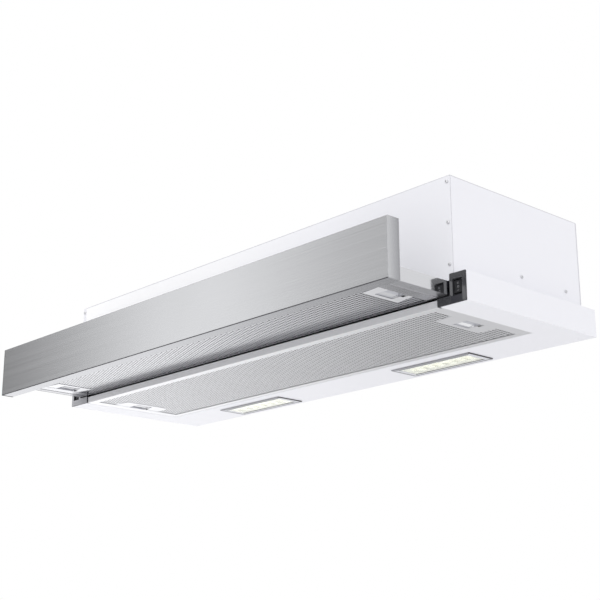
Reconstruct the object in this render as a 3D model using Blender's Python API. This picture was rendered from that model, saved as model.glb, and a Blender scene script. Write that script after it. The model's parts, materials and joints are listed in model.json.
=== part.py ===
"""Under cabinet range hood with a slide-out filter tray.

The casing is a low wide canopy with a narrower sheet-metal box on it that goes
up into the wall cabinet. The tray, with its fascia, arms, cover and filter,
slides out of the canopy's front. Working frame while modelling (millimetres):
X to the right seen from the front, 0 in the middle of the width; Y to the back,
0 in the canopy's front plane; Z up, 0 at the canopy's underside. The datum
empty moves all of it so that the world's origin lies on the wall plane, in the
middle of the width, at the level of the cabinet's underside.
"""
import math
import bpy
import bmesh
from mathutils import Vector, Matrix

for old in list(bpy.data.objects):
    bpy.data.objects.remove(old, do_unlink=True)

MM = 0.001

# ---------------------------------------------------------------- dimensions
CANOPY_W = 898.0          # overall width, for a 900 mm cabinet
DEPTH = 276.0             # canopy front to wall
CANOPY_H = 40.0           # canopy underside to the ledge under the cabinet
BODY_TOP = 174.0          # underside to the top of the box
BOX_W = 855.0             # box that goes up inside the cabinet
SHEET = 0.8               # painted sheet
GAP = 0.3                 # gap between neighbouring solids

HX = CANOPY_W / 2
BX = BOX_W / 2

FILTER_X = 403.7          # half width of both filter cassettes
FILTER_OPEN_X = 385.0     # half width of their perforated field
FIXED_Y0, FIXED_Y1, FIXED_Z0, FIXED_H = 0.0, 190.0, 0.0, 10.0
TRAY_Y0, TRAY_Y1, TRAY_Z0, TRAY_H = -117.5, 2.5, 12.0, 8.0

FASCIA_X = 447.5
FASCIA_Y0, FASCIA_Y1 = -140.4, -120.5
FASCIA_Z0, FASCIA_Z1 = 0.2, 78.7
TRAY_TRAVEL = 118.0       # push the tray in by this and the fascia meets the brackets

ARM_X = 420.0             # outer face of the tray's side channels
ARM_Z0, ARM_Z1 = 12.0, 31.5
ARM_Y0, ARM_Y1 = -138.8, 100.0

RAIL_Y0, RAIL_Y1 = 40.0, 250.0

PROUD = 2.1               # the corner brackets' faces stand this far in front of the canopy
SWITCH_X0, SWITCH_X1 = 427.2, 442.7
SWITCH_Z0, SWITCH_Z1 = 9.6, 31.2
ROCKER_AXIS_Y, ROCKER_AXIS_Z = 5.0 - PROUD, 20.4
ROCKER_TILT = {"left": math.radians(10.0), "right": 0.0}   # two-way lamp switch, three-way fan switch at its middle

LAMP_W, LAMP_D = 156.0, 56.0
LAMP_X = (-219.0, 198.0)  # left and right lamp centres
LAMP_Y = 236.5

COLLAR_Y = 176.0
COLLAR_RO, COLLAR_RI = 74.5, 72.0
COLLAR_TOP = 217.0
FLAP_Z = 190.0
FLAP_OFF = 3.4            # flap hinge line to the collar's middle rib

FAN_Y, FAN_Z = 136.0, 100.0
FAN_R = 50.0
FAN_HALF = 60.0
SCROLL_HALF = 75.0

# ---------------------------------------------------------------- materials


def material(name, rgb, rough, metal):
    m = bpy.data.materials.new(name)
    m.use_nodes = True
    b = m.node_tree.nodes["Principled BSDF"]
    b.inputs["Base Color"].default_value = (rgb[0], rgb[1], rgb[2], 1.0)
    b.inputs["Roughness"].default_value = rough
    b.inputs["Metallic"].default_value = metal
    m.diffuse_color = (rgb[0], rgb[1], rgb[2], 1.0)
    return m


WHITE = material("white_paint", (0.86, 0.86, 0.88), 0.45, 0.0)
STEEL = material("brushed_steel", (0.55, 0.55, 0.56), 0.32, 1.0)
POLISH = material("polished_steel", (0.72, 0.72, 0.73), 0.12, 1.0)
ALU = material("filter_aluminium", (0.62, 0.62, 0.63), 0.38, 1.0)
GREY = material("dark_grey_plastic", (0.06, 0.065, 0.075), 0.5, 0.0)
BLACK = material("black_plastic", (0.015, 0.015, 0.017), 0.35, 0.0)
GALV = material("galvanised_steel", (0.60, 0.61, 0.62), 0.4, 1.0)
LAMPGREY = material("lamp_grey", (0.55, 0.56, 0.57), 0.45, 0.0)
LENS = material("lamp_lens", (0.95, 0.95, 0.90), 0.2, 0.0)
BOARD = material("led_board", (0.85, 0.85, 0.75), 0.5, 0.0)
SCREW = material("screw_zinc", (0.66, 0.66, 0.64), 0.3, 1.0)
NYLON = material("nylon", (0.80, 0.80, 0.77), 0.5, 0.0)

# ---------------------------------------------------------------- helpers
datum = bpy.data.objects.new("hood_datum", None)
datum.location = (0.0, -DEPTH * MM, -CANOPY_H * MM)
bpy.context.scene.collection.objects.link(datum)

tray_axis = bpy.data.objects.new("tray_slide_axis", None)
tray_axis.parent = datum
bpy.context.scene.collection.objects.link(tray_axis)


def finish_bm(bm):
    bmesh.ops.remove_doubles(bm, verts=bm.verts, dist=0.002)
    bmesh.ops.dissolve_degenerate(bm, edges=bm.edges, dist=0.001)
    bmesh.ops.recalc_face_normals(bm, faces=bm.faces)
    return bm


def obj(name, bm, mat, origin=(0, 0, 0), smooth=False, parent=None):
    """Link a bmesh (millimetres, working frame) as a named object in metres."""
    finish_bm(bm)
    o = Vector(origin)
    for v in bm.verts:
        v.co = (v.co - o) * MM
    me = bpy.data.meshes.new(name)
    bm.to_mesh(me)
    bm.free()
    me.materials.append(mat)
    if smooth:
        me.shade_smooth()
        me.set_sharp_from_angle(angle=math.radians(35))
    ob = bpy.data.objects.new(name, me)
    ob.location = o * MM
    ob.parent = parent or datum
    bpy.context.scene.collection.objects.link(ob)
    return ob


def cells(adds, cuts=()):
    """Union of axis-aligned boxes less other boxes, as one clean shell.

    Each box is (x0, x1, y0, y1, z0, z1).
    """
    boxes = list(adds) + list(cuts)
    xs, ys, zs = (sorted({round(b[k], 4) for b in boxes} | {round(b[k + 1], 4) for b in boxes})
                  for k in (0, 2, 4))

    def inside(x, y, z, b):
        return b[0] < x < b[1] and b[2] < y < b[3] and b[4] < z < b[5]

    nx, ny, nz = len(xs) - 1, len(ys) - 1, len(zs) - 1
    full = set()
    for i in range(nx):
        cx = (xs[i] + xs[i + 1]) / 2
        for j in range(ny):
            cy = (ys[j] + ys[j + 1]) / 2
            for k in range(nz):
                cz = (zs[k] + zs[k + 1]) / 2
                if any(inside(cx, cy, cz, b) for b in adds) and not any(inside(cx, cy, cz, b) for b in cuts):
                    full.add((i, j, k))
    bm = bmesh.new()
    verts = {}

    def vert(i, j, k):
        if (i, j, k) not in verts:
            verts[(i, j, k)] = bm.verts.new((xs[i], ys[j], zs[k]))
        return verts[(i, j, k)]

    sides = {
        (-1, 0, 0): ((0, 0, 0), (0, 0, 1), (0, 1, 1), (0, 1, 0)),
        (1, 0, 0): ((1, 0, 0), (1, 1, 0), (1, 1, 1), (1, 0, 1)),
        (0, -1, 0): ((0, 0, 0), (1, 0, 0), (1, 0, 1), (0, 0, 1)),
        (0, 1, 0): ((0, 1, 0), (0, 1, 1), (1, 1, 1), (1, 1, 0)),
        (0, 0, -1): ((0, 0, 0), (0, 1, 0), (1, 1, 0), (1, 0, 0)),
        (0, 0, 1): ((0, 0, 1), (1, 0, 1), (1, 1, 1), (0, 1, 1)),
    }
    for (i, j, k) in sorted(full):
        for d, corners in sides.items():
            if (i + d[0], j + d[1], k + d[2]) not in full:
                bm.faces.new([vert(i + a, j + b, k + c) for a, b, c in corners])
    bmesh.ops.recalc_face_normals(bm, faces=bm.faces)
    bmesh.ops.dissolve_limit(bm, angle_limit=0.001, use_dissolve_boundaries=False,
                             verts=bm.verts, edges=bm.edges, delimit=set())
    return bm


def prism(points, axis, lo, hi):
    """Extrude a closed outline along an axis. points are the other two coordinates in X, Y, Z order."""
    bm = bmesh.new()

    def at(p, t):
        if axis == "x":
            return (t, p[0], p[1])
        if axis == "y":
            return (p[0], t, p[1])
        return (p[0], p[1], t)

    a = [bm.verts.new(at(p, lo)) for p in points]
    b = [bm.verts.new(at(p, hi)) for p in points]
    n = len(points)
    bm.faces.new(a)
    bm.faces.new(b[::-1])
    for i in range(n):
        j = (i + 1) % n
        bm.faces.new((a[i], a[j], b[j], b[i]))
    bmesh.ops.recalc_face_normals(bm, faces=bm.faces)
    return bm


def circle(cx, cy, r, n, start=0.0):
    return [(cx + r * math.cos(start + 2 * math.pi * i / n), cy + r * math.sin(start + 2 * math.pi * i / n))
            for i in range(n)]


def disc(centre, axis, r, lo, hi, n=24, start=0.0):
    """Cylinder along an axis; centre is the other two coordinates."""
    return prism(circle(centre[0], centre[1], r, n, start), axis, lo, hi)


def lathe(profile, centre, axis, n):
    """Ring turned from a closed profile of (radius, position along the axis)."""
    bm = bmesh.new()
    rings = []
    for i in range(n):
        a = 2 * math.pi * i / n
        ring = []
        for r, t in profile:
            u, v = centre[0] + r * math.cos(a), centre[1] + r * math.sin(a)
            co = (t, u, v) if axis == "x" else ((u, t, v) if axis == "y" else (u, v, t))
            ring.append(bm.verts.new(co))
        rings.append(ring)
    m = len(profile)
    for i in range(n):
        p, q = rings[i], rings[(i + 1) % n]
        for j in range(m):
            k = (j + 1) % m
            bm.faces.new((p[j], q[j], q[k], p[k]))
    bmesh.ops.recalc_face_normals(bm, faces=bm.faces)
    return bm


def temp(bm):
    finish_bm(bm)
    for v in bm.verts:
        v.co *= MM
    me = bpy.data.meshes.new("tool")
    bm.to_mesh(me)
    bm.free()
    ob = bpy.data.objects.new("tool", me)
    bpy.context.scene.collection.objects.link(ob)
    return ob


def combine(base, steps):
    """Boolean steps on bmeshes in millimetres: [("UNION" or "DIFFERENCE", bmesh), ...]."""
    a = temp(base)
    for op, other in steps:
        b = temp(other)
        mod = a.modifiers.new("cut", "BOOLEAN")
        mod.operation = op
        mod.solver = "EXACT"
        mod.object = b
        bpy.context.view_layer.update()
        dg = bpy.context.evaluated_depsgraph_get()
        me = bpy.data.meshes.new_from_object(a.evaluated_get(dg))
        a.modifiers.remove(mod)
        a.data = me
        bpy.data.objects.remove(b, do_unlink=True)
    bm = bmesh.new()
    bm.from_mesh(a.data)
    bpy.data.objects.remove(a, do_unlink=True)
    for v in bm.verts:
        v.co /= MM
    return bm


def merge(bms):
    """Several closed shells in one bmesh, for use as one boolean tool."""
    out = bmesh.new()
    for bm in bms:
        me = bpy.data.meshes.new("part_of_tool")
        bm.to_mesh(me)
        bm.free()
        out.from_mesh(me)
    return out


def mirror_boxes(boxes, s):
    return [((b[0], b[1]) if s > 0 else (-b[1], -b[0])) + tuple(b[2:]) for b in boxes]


SIDES = (("left", -1), ("right", 1))

# ---------------------------------------------------------------- canopy shell
OPEN_X = FILTER_X + 0.5
canopy = [(-HX, HX, 0, DEPTH, 0, SHEET),
          (-HX, -HX + SHEET, 0, DEPTH, 0, CANOPY_H), (HX - SHEET, HX, 0, DEPTH, 0, CANOPY_H),
          (-HX, HX, DEPTH - SHEET, DEPTH, 0, 30.0),
          (-HX, -BX - 0.4, 2.4, DEPTH, CANOPY_H - SHEET, CANOPY_H), (BX + 0.4, HX, 2.4, DEPTH, CANOPY_H - SHEET, CANOPY_H),
          (-HX, -BX - 0.4, DEPTH - SHEET, DEPTH, 0, CANOPY_H), (BX + 0.4, HX, DEPTH - SHEET, DEPTH, 0, CANOPY_H),
          (-OPEN_X, OPEN_X, FIXED_Y1 + 0.4, FIXED_Y1 + 0.4 + SHEET, 0, 8.0)]
canopy_cuts = [(-OPEN_X, OPEN_X, -5, FIXED_Y1 + 0.4, -5, 5)]
for x in LAMP_X:
    canopy_cuts.append((x - 73, x + 73, LAMP_Y - 23, LAMP_Y + 23, -5, 5))
obj("canopy_shell", cells(canopy, canopy_cuts), WHITE)

# ---------------------------------------------------------------- box panels
FRONT_SCREW_Z = (53.0, 109.5, 165.7)
SIDE_SCREW = ((141.0, 64.4), (240.0, 64.0))

front = cells([(-419.2, BX, 0, SHEET, 40.6, BODY_TOP), (-398, 398, 0, SHEET, 34, 60),
               (-398, 398, 0, 12, 34, 34 + SHEET),
               (-418.9, -405, 0, 2.7, 44, 168), (-425.8, -405, 1.5, 2.7, 44, 170)])
holes = merge([disc((s * 422.6, z), "y", 2.1, -3, 6, 10) for s in (-1, 1) for z in FRONT_SCREW_Z])
obj("front_panel", combine(front, [("DIFFERENCE", holes)]), WHITE)

right = cells([(BX - SHEET, BX, 1.5, 274.5, 40.6, BODY_TOP), (BX - SHEET, BX, 38, 274.5, 1.6, 80),
               (405, BX, 1.5, 2.7, 44, 172.4), (405, BX, 273.3, 274.5, 44, 172.4),
               (405, BX, 1.5, 274.5, 172.4 - SHEET, 172.4)])
holes = merge([disc((422.6, z), "y", 2.1, -3, 6, 10) for z in FRONT_SCREW_Z] +
              [disc((y, z), "x", 2.1, 420, 432, 10) for y, z in SIDE_SCREW])
obj("side_panel_right", combine(right, [("DIFFERENCE", holes)]), WHITE)

left = cells([(-BX, -BX + SHEET, 0, 274.5, 40.6, BODY_TOP), (-BX, -BX + SHEET, 38, 274.5, 1.6, 80),
              (-BX, -419.5, 0, SHEET, 40.6, BODY_TOP), (-BX, -405, 273.3, 274.5, 44, 172.4),
              (-BX, -405, 4.0, 274.5, 172.4 - SHEET, 172.4)])
holes = merge([disc((-422.6, z), "y", 2.1, -3, 6, 10) for z in FRONT_SCREW_Z] +
              [disc((y, z), "x", 2.1, -432, -420, 10) for y, z in SIDE_SCREW])
obj("side_panel_left", combine(left, [("DIFFERENCE", holes)]), WHITE)

back = cells([(-BX, BX, DEPTH - SHEET, DEPTH, 30.3, BODY_TOP)])
obj("back_panel", back, WHITE)

GLAND = (-300.0, 225.0)
top = cells([(-BX + 1.5, BX - 1.5, 1.5, 274.5, 172.7, 172.7 + SHEET)])
holes = merge([disc((0, COLLAR_Y), "z", COLLAR_RO + 0.5, 165, 180, 40), disc(GLAND, "z", 8.4, 165, 180, 16)])
obj("top_panel", combine(top, [("DIFFERENCE", holes)]), GALV)


def pan_screw(centre, axis, face, out, head_r=3.6, head_h=1.9, shank_r=1.75, shank=6.0):
    """Pan-head screw; out is the side (+1 or -1) that the head stands on."""
    prof = [(0.0001, face + out * (head_h + GAP)), (head_r * 0.62, face + out * (head_h + GAP)),
            (head_r, face + out * (head_h * 0.35 + GAP)), (head_r, face + out * GAP),
            (shank_r, face + out * GAP), (shank_r, face - out * shank), (0.0001, face - out * shank)]
    bm = bmesh.new()
    n = 12
    rings = []
    tip_a = tip_b = None
    for idx, (r, t) in enumerate(prof):
        if idx in (0, len(prof) - 1):
            u, v = centre
            co = (t, u, v) if axis == "x" else (u, t, v)
            rings.append([bm.verts.new(co)])
            continue
        ring = []
        for i in range(n):
            a = 2 * math.pi * i / n
            u, v = centre[0] + r * math.cos(a), centre[1] + r * math.sin(a)
            ring.append(bm.verts.new((t, u, v) if axis == "x" else (u, t, v)))
        rings.append(ring)
    for p, q in zip(rings, rings[1:]):
        for i in range(n):
            j = (i + 1) % n
            if len(p) == 1:
                bm.faces.new((p[0], q[i], q[j]))
            elif len(q) == 1:
                bm.faces.new((p[i], p[j], q[0]))
            else:
                bm.faces.new((p[i], p[j], q[j], q[i]))
    bmesh.ops.recalc_face_normals(bm, faces=bm.faces)
    return bm


for side, s in SIDES:
    for i, z in enumerate(FRONT_SCREW_Z):
        obj("front_screw_%s_%d" % (side, i + 1), pan_screw((s * 422.6, z), "y", 0.0, -1), SCREW, smooth=True)
    for i, (y, z) in enumerate(SIDE_SCREW):
        obj("side_screw_%s_%d" % (side, i + 1), pan_screw((y, z), "x", s * BX, s), SCREW, smooth=True)

# ---------------------------------------------------------------- outlet collar and flaps
tube = lathe([(COLLAR_RI, 174.3), (COLLAR_RO, 174.3), (COLLAR_RO, COLLAR_TOP), (COLLAR_RI, COLLAR_TOP)],
             (0, COLLAR_Y), "z", 40)
plate = cells([(-90, 90, COLLAR_Y - 90, COLLAR_Y + 90, 174.4, 176.8)])
plate = combine(plate, [("DIFFERENCE", disc((0, COLLAR_Y), "z", 73.2, 170, 180, 40))])
rib = cells([(-73, 73, COLLAR_Y - 1, COLLAR_Y + 1, 184, 196)])
pins = merge([disc((COLLAR_Y + k * FLAP_OFF, FLAP_Z), "x", 1.3, -80, 80, 10) for k in (-1, 1)])
collar = combine(tube, [("UNION", plate), ("UNION", rib), ("DIFFERENCE", pins)])
obj("outlet_collar", collar, GREY, smooth=True)

for name, k in (("damper_flap_front", -1), ("damper_flap_rear", 1)):
    hy = COLLAR_Y + k * FLAP_OFF
    r = 70.8
    a0 = math.asin(FLAP_OFF / r)
    arc = []
    n = 18
    for i in range(n + 1):
        a = a0 + (math.pi - 2 * a0) * i / n
        arc.append((r * math.cos(a), COLLAR_Y + k * r * math.sin(a)))
    flap = prism(arc, "z", FLAP_Z - 0.6, FLAP_Z + 0.6)
    barrel = disc((hy, FLAP_Z), "x", 1.8, -70.5, 70.5, 10)
    pin = disc((hy, FLAP_Z), "x", 1.15, -74.0, 74.0, 10)
    obj(name, combine(flap, [("UNION", barrel), ("UNION", pin)]), BLACK, origin=(0, hy, FLAP_Z), smooth=True)

# ---------------------------------------------------------------- blower


def scroll_path():
    """Middle line of the scroll wall in (y, z): down the tongue, round and up to the outlet."""
    pts = [(FAN_Y + 19.0, 171.0), (FAN_Y + 19.0, FAN_Z + 54.5)]
    n = 30
    for i in range(n + 1):
        t = i / n
        a = math.radians(72 + (360 - 72) * t)
        r = 54.5 + 6.5 * t
        pts.append((FAN_Y + r * math.cos(a), FAN_Z + r * math.sin(a)))
    pts.append((FAN_Y + 61.0, 171.0))
    return pts


def band(path, half, lo, hi):
    """Wall of constant thickness along an open path in (y, z), extruded in x."""
    bm = bmesh.new()
    rows = []
    for i, p in enumerate(path):
        a = Vector(path[max(i - 1, 0)])
        b = Vector(path[min(i + 1, len(path) - 1)])
        d = (b - a).normalized()
        nrm = Vector((-d.y, d.x))
        i_, o_ = Vector(p) + nrm * half, Vector(p) - nrm * half
        rows.append([bm.verts.new((lo, i_.x, i_.y)), bm.verts.new((lo, o_.x, o_.y)),
                     bm.verts.new((hi, o_.x, o_.y)), bm.verts.new((hi, i_.x, i_.y))])
    for p, q in zip(rows, rows[1:]):
        for j in range(4):
            k = (j + 1) % 4
            bm.faces.new((p[j], p[k], q[k], q[j]))
    bm.faces.new(rows[0][::-1])
    bm.faces.new(rows[-1])
    bmesh.ops.recalc_face_normals(bm, faces=bm.faces)
    return bm


path = scroll_path()
for side, s in SIDES:
    lo, hi = (0.15, SCROLL_HALF) if s > 0 else (-SCROLL_HALF, -0.15)
    wall = band(path, 1.1, lo, hi)
    px = (SCROLL_HALF - 2.2, SCROLL_HALF - 0.2) if s > 0 else (-SCROLL_HALF + 0.2, -SCROLL_HALF + 2.2)
    outline = [(path[0][0], 170.6)] + path[1:-1] + [(path[-1][0], 170.6)]
    cheek = prism(outline, "x", px[0], px[1])
    cheek = combine(cheek, [("DIFFERENCE", disc((FAN_Y, FAN_Z), "x", 40.0, px[0] - 5, px[1] + 5, 32))])
    obj("blower_housing_" + side, combine(wall, [("UNION", cheek)]), NYLON, smooth=True)

N_BLADE = 20


def fan_wheel():
    """Double-inlet wheel as rings of cells in angle, radius and x: hub, middle web, blades, end rings."""
    rs = [4.3, 9.0, 40.0, 45.0, FAN_R]
    lag = [0.0, 0.0, 0.0, 0.03, 0.13]
    xs = [-FAN_HALF, -FAN_HALF + 2.2, -9.0, -1.0, 1.0, 11.0, FAN_HALF - 2.2, FAN_HALF]
    step = 2 * math.pi / N_BLADE
    blade = 0.035

    def full(i, j, k):
        if not (0 <= j < 4 and 0 <= k < 7):
            return False
        if j == 0:
            return 2 <= k <= 4
        if j == 1:
            return k == 3
        return k in (0, 3, 6) or i % 2 == 0

    bm = bmesh.new()
    verts = {}

    def vert(i, j, k):
        i %= 2 * N_BLADE
        if (i, j, k) not in verts:
            a = (i // 2) * step + (blade if i % 2 else 0.0) + lag[j]
            verts[(i, j, k)] = bm.verts.new((xs[k], FAN_Y + rs[j] * math.cos(a), FAN_Z + rs[j] * math.sin(a)))
        return verts[(i, j, k)]

    for i in range(2 * N_BLADE):
        for j in range(4):
            for k in range(7):
                if not full(i, j, k):
                    continue
                for d, c in (((-1, 0, 0), ((0, 0, 0), (0, 0, 1), (0, 1, 1), (0, 1, 0))),
                             ((1, 0, 0), ((1, 0, 0), (1, 1, 0), (1, 1, 1), (1, 0, 1))),
                             ((0, -1, 0), ((0, 0, 0), (1, 0, 0), (1, 0, 1), (0, 0, 1))),
                             ((0, 1, 0), ((0, 1, 0), (0, 1, 1), (1, 1, 1), (1, 1, 0))),
                             ((0, 0, -1), ((0, 0, 0), (0, 1, 0), (1, 1, 0), (1, 0, 0))),
                             ((0, 0, 1), ((0, 0, 1), (1, 0, 1), (1, 1, 1), (0, 1, 1)))):
                    if not full((i + d[0]) % (2 * N_BLADE), j + d[1], k + d[2]):
                        bm.faces.new([vert(i + p, j + q, k + r) for p, q, r in c])
    bmesh.ops.recalc_face_normals(bm, faces=bm.faces)
    return bm


obj("impeller", fan_wheel(), BLACK, origin=(0, FAN_Y, FAN_Z), smooth=True)
obj("motor_shaft", disc((FAN_Y, FAN_Z), "x", 4.0, -13.7, 13.0, 16), POLISH, origin=(0, FAN_Y, FAN_Z), smooth=True)

can = lathe([(8.0, -14.0), (30.0, -14.0), (32.0, -17.0), (32.0, -71.0), (28.0, -75.0), (8.0, -75.0)],
            (FAN_Y, FAN_Z), "x", 28)
can = combine(can, [("UNION", disc((FAN_Y, FAN_Z), "x", 12.0, -74.5, -14.6, 16))])
obj("motor", can, GALV, smooth=True)
arms = []
for i in range(3):
    a = math.radians(90 + 120 * i)
    d = Vector((math.cos(a), math.sin(a)))
    q = Vector((-d.y, d.x)) * 5.0
    c = Vector((FAN_Y, FAN_Z))
    pts = [c + d * 14 - q, c + d * 50 - q, c + d * 50 + q, c + d * 14 + q]
    arms.append(prism([(p.x, p.y) for p in pts], "x", -77.7, -75.3))
plate = disc((FAN_Y, FAN_Z), "x", 22.0, -77.9, -75.4, 24)
obj("motor_bracket", combine(plate, [("UNION", merge(arms))]), GALV)

obj("capacitor", disc((215.0, 156.0), "x", 14.0, -210.0, -150.0, 20), WHITE, smooth=True)

# ---------------------------------------------------------------- mains inlet
TB = (-345.0, -255.0, 195.0, 255.0, 136.0, 168.0)
obj("terminal_box", cells([TB], [(TB[0] + 2, TB[1] - 2, TB[2] + 2, TB[3] - 2, TB[4] - 1, TB[5] - 2)]), GREY)
obj("terminal_box_cover", cells([(TB[0] - 1, TB[1] + 1, TB[2] - 1, TB[3] + 1, TB[4] - 2.4, TB[4] - 0.4),
                                 (TB[0] + 2.5, TB[1] - 2.5, TB[2] + 2.5, TB[3] - 2.5, TB[4] - 2.4, TB[4] + 2.0)],
                                [(TB[0] + 4.5, TB[1] - 4.5, TB[2] + 4.5, TB[3] - 4.5, TB[4] - 0.4, TB[4] + 3)]), GREY)
gland = lathe([(4.2, 169.0), (8.0, 169.0), (8.0, 174.3), (12.0, 174.3), (12.0, 179.0), (9.0, 184.0), (9.0, 192.0),
               (4.2, 192.0)], GLAND, "z", 18)
obj("cable_gland", gland, BLACK, smooth=True)

# ---------------------------------------------------------------- corner brackets and switches
for side, s in SIDES:
    bx = [(422.4, 448.4, -PROUD, -0.3, 0.0, 39.5), (401.1, 423.0, -PROUD, -0.3, 0.0, 10.9),
          (422.4, 447.4, -1.0, 2.0, 1.5, 38.4), (401.1, 423.0, -1.0, 4.0, 1.5, 10.9),
          (422.4, 423.9, 0, 34.0, 1.5, 38.4), (445.9, 447.4, 0, 34.0, 1.5, 38.4),
          (422.4, 447.4, 0, 34.0, 1.5, 3.0), (422.4, 447.4, 0, 34.0, 36.9, 38.4)]
    cut = [(SWITCH_X0, SWITCH_X1, -5, 5, SWITCH_Z0, SWITCH_Z1)]
    obj("corner_bracket_" + side, cells(mirror_boxes(bx, s), mirror_boxes(cut, s)), GREY)
    body = [(SWITCH_X0 + 0.4, SWITCH_X1 - 0.4, 0.2 - PROUD, 18.0 - PROUD, SWITCH_Z0 + 0.4, SWITCH_Z1 - 0.4)]
    well = [(SWITCH_X0 + 1.6, SWITCH_X1 - 1.6, -9, 9.5 - PROUD, SWITCH_Z0 + 1.6, SWITCH_Z1 - 1.6)]
    obj("switch_body_" + side, cells(mirror_boxes(body, s), mirror_boxes(well, s)), BLACK)
    prof = [(-5.0, -8.0), (-4.3, -4.0), (-3.7, 0.0), (-4.3, 4.0), (-5.0, 8.0), (-2.0, 8.3), (0.5, 6.5), (2.2, 2.5),
            (2.2, -2.5), (0.5, -6.5), (-2.0, -8.3)]
    ca, sa = math.cos(ROCKER_TILT[side]), math.sin(ROCKER_TILT[side])
    pts = [(ROCKER_AXIS_Y + y * ca - z * sa, ROCKER_AXIS_Z + y * sa + z * ca) for y, z in prof]
    lo, hi = SWITCH_X0 + 1.9, SWITCH_X1 - 1.9
    if s < 0:
        lo, hi = -hi, -lo
    obj("rocker_" + side, prism(pts, "x", lo, hi), BLACK,
        origin=((lo + hi) / 2, ROCKER_AXIS_Y, ROCKER_AXIS_Z), smooth=True)

# ---------------------------------------------------------------- filters and their latches


def cassette(prefix, y0, y1, z0, h, margin, plate_y, notch, bolt_z, parent=None):
    """Grease filter: channel frame with a latch plate at each end, mesh pad, two sprung latches."""
    mid = (plate_y[0] + plate_y[1]) / 2
    adds = [(-FILTER_X, FILTER_X, y0, y1, z0, z0 + h)]
    cuts = [(-FILTER_OPEN_X, FILTER_OPEN_X, y0 + margin, y1 - margin, z0 - 1, z0 + h + 1)]
    if notch:
        cuts += mirror_boxes([(400.8, FILTER_X + 1, y0 - 1, 4.4, z0 - 1, z0 + h + 1)], 1)
        cuts += mirror_boxes([(400.8, FILTER_X + 1, y0 - 1, 4.4, z0 - 1, z0 + h + 1)], -1)
    frame = cells(adds, cuts)
    tools = []
    for s in (-1, 1):
        plate = cells(mirror_boxes([(350.5, FILTER_OPEN_X + 1, plate_y[0], plate_y[1], z0 + 0.3, z0 + 1.5)], s),
                      mirror_boxes([(359.0, 386.5, mid - 16, mid + 16, z0 - 1, z0 + 3)], s))
        slot = cells(mirror_boxes([(380.0, 410.0, mid - 5.6, mid + 5.6, bolt_z - 0.4, bolt_z + 3.0)], s))
        tools += [("UNION", plate), ("DIFFERENCE", slot)]
    obj(prefix + "_filter_frame", combine(frame, tools), ALU, parent=parent)
    pad_cut = []
    for s in (-1, 1):
        pad_cut += mirror_boxes([(350.0, 400.0, plate_y[0] - 0.4, plate_y[1] + 0.4, z0 - 1, z0 + h + 1)], s)
    obj(prefix + "_filter_mesh",
        cells([(-FILTER_OPEN_X + 0.3, FILTER_OPEN_X - 0.3, y0 + margin + 0.3, y1 - margin - 0.3, z0 + 0.8, z0 + 2.8)],
              pad_cut), ALU, parent=parent)
    for side, s in SIDES:
        grip = [(365.5, 385.0, mid - 15.4, mid + 15.4, z0 + 0.5, bolt_z), (372.0, 408.5, mid - 5.2, mid + 5.2, bolt_z, bolt_z + 2.6),
                (368.0, 371.0, mid - 12.0, mid + 12.0, z0 - 1.0, z0 + 1.0)]
        obj("%s_latch_%s" % (prefix, side), cells(mirror_boxes(grip, s)), LAMPGREY,
            origin=(s * 385.0, mid, bolt_z + 1.3), parent=parent)


cassette("fixed", FIXED_Y0, FIXED_Y1, FIXED_Z0, FIXED_H, 12.0, (45.0, 137.0), True, 4.0)
cassette("tray", TRAY_Y0, TRAY_Y1, TRAY_Z0, TRAY_H, 10.0, (-92.0, -24.0), False, 15.2, parent=tray_axis)

# ---------------------------------------------------------------- tray
fascia = cells([(-FASCIA_X, FASCIA_X, FASCIA_Y0, FASCIA_Y1, FASCIA_Z0, FASCIA_Z1)],
               [(-FASCIA_X + SHEET, FASCIA_X - SHEET, FASCIA_Y0 + SHEET, FASCIA_Y1 + 5,
                 FASCIA_Z0 + SHEET, FASCIA_Z1 - SHEET)])
obj("fascia", fascia, STEEL, parent=tray_axis)

for side, s in SIDES:
    arm = [(ARM_X - SHEET, ARM_X, ARM_Y0, ARM_Y1, ARM_Z0, ARM_Z1),
           (404.2, ARM_X, ARM_Y0, ARM_Y1, ARM_Z0, ARM_Z0 + SHEET),
           (408.0, ARM_X, ARM_Y0, ARM_Y1, ARM_Z1 - SHEET, ARM_Z1),
           (404.2, ARM_X, ARM_Y0, ARM_Y0 + SHEET, ARM_Z0, ARM_Z1)]
    obj("tray_arm_" + side, cells(mirror_boxes(arm, s)), POLISH, parent=tray_axis)
    glide = [(ARM_X + 0.3, 424.4, 60.0, 98.0, 12.3, 31.2)]
    groove = [(ARM_X, 422.0, 66.0, 92.0, 17.0, 26.0)]
    obj("tray_glide_" + side, cells(mirror_boxes(glide, s), mirror_boxes(groove, s)), NYLON, parent=tray_axis)
    rail = [(424.8, 426.0, RAIL_Y0, RAIL_Y1, 10.4, 33.1), (412.0, 426.0, RAIL_Y0, RAIL_Y1, 10.4, 11.6),
            (412.0, 426.0, RAIL_Y0, RAIL_Y1, 31.9, 33.1)]
    obj("slide_rail_" + side, cells(mirror_boxes(rail, s)), GALV)

obj("tray_cover", cells([(-411.5, 411.5, -120.2, 90.0, 31.8, 31.8 + SHEET), (-411.5, 411.5, 90.0 - SHEET, 90.0, 31.8, 33.6)]),
    GALV, parent=tray_axis)
obj("tray_mid_bar", cells([(-403.5, 403.5, 3.0, 9.0, 12.4, 20.0)], [(-405, 405, 4.2, 7.8, 13.6, 21.0)]), GALV,
    parent=tray_axis)
obj("tray_rear_bar", cells([(-418.4, 418.4, 86.0, 98.0, 13.5, 29.9)], [(-420, 420, 87.2, 99.0, 14.7, 28.7)]), GALV,
    parent=tray_axis)

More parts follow.
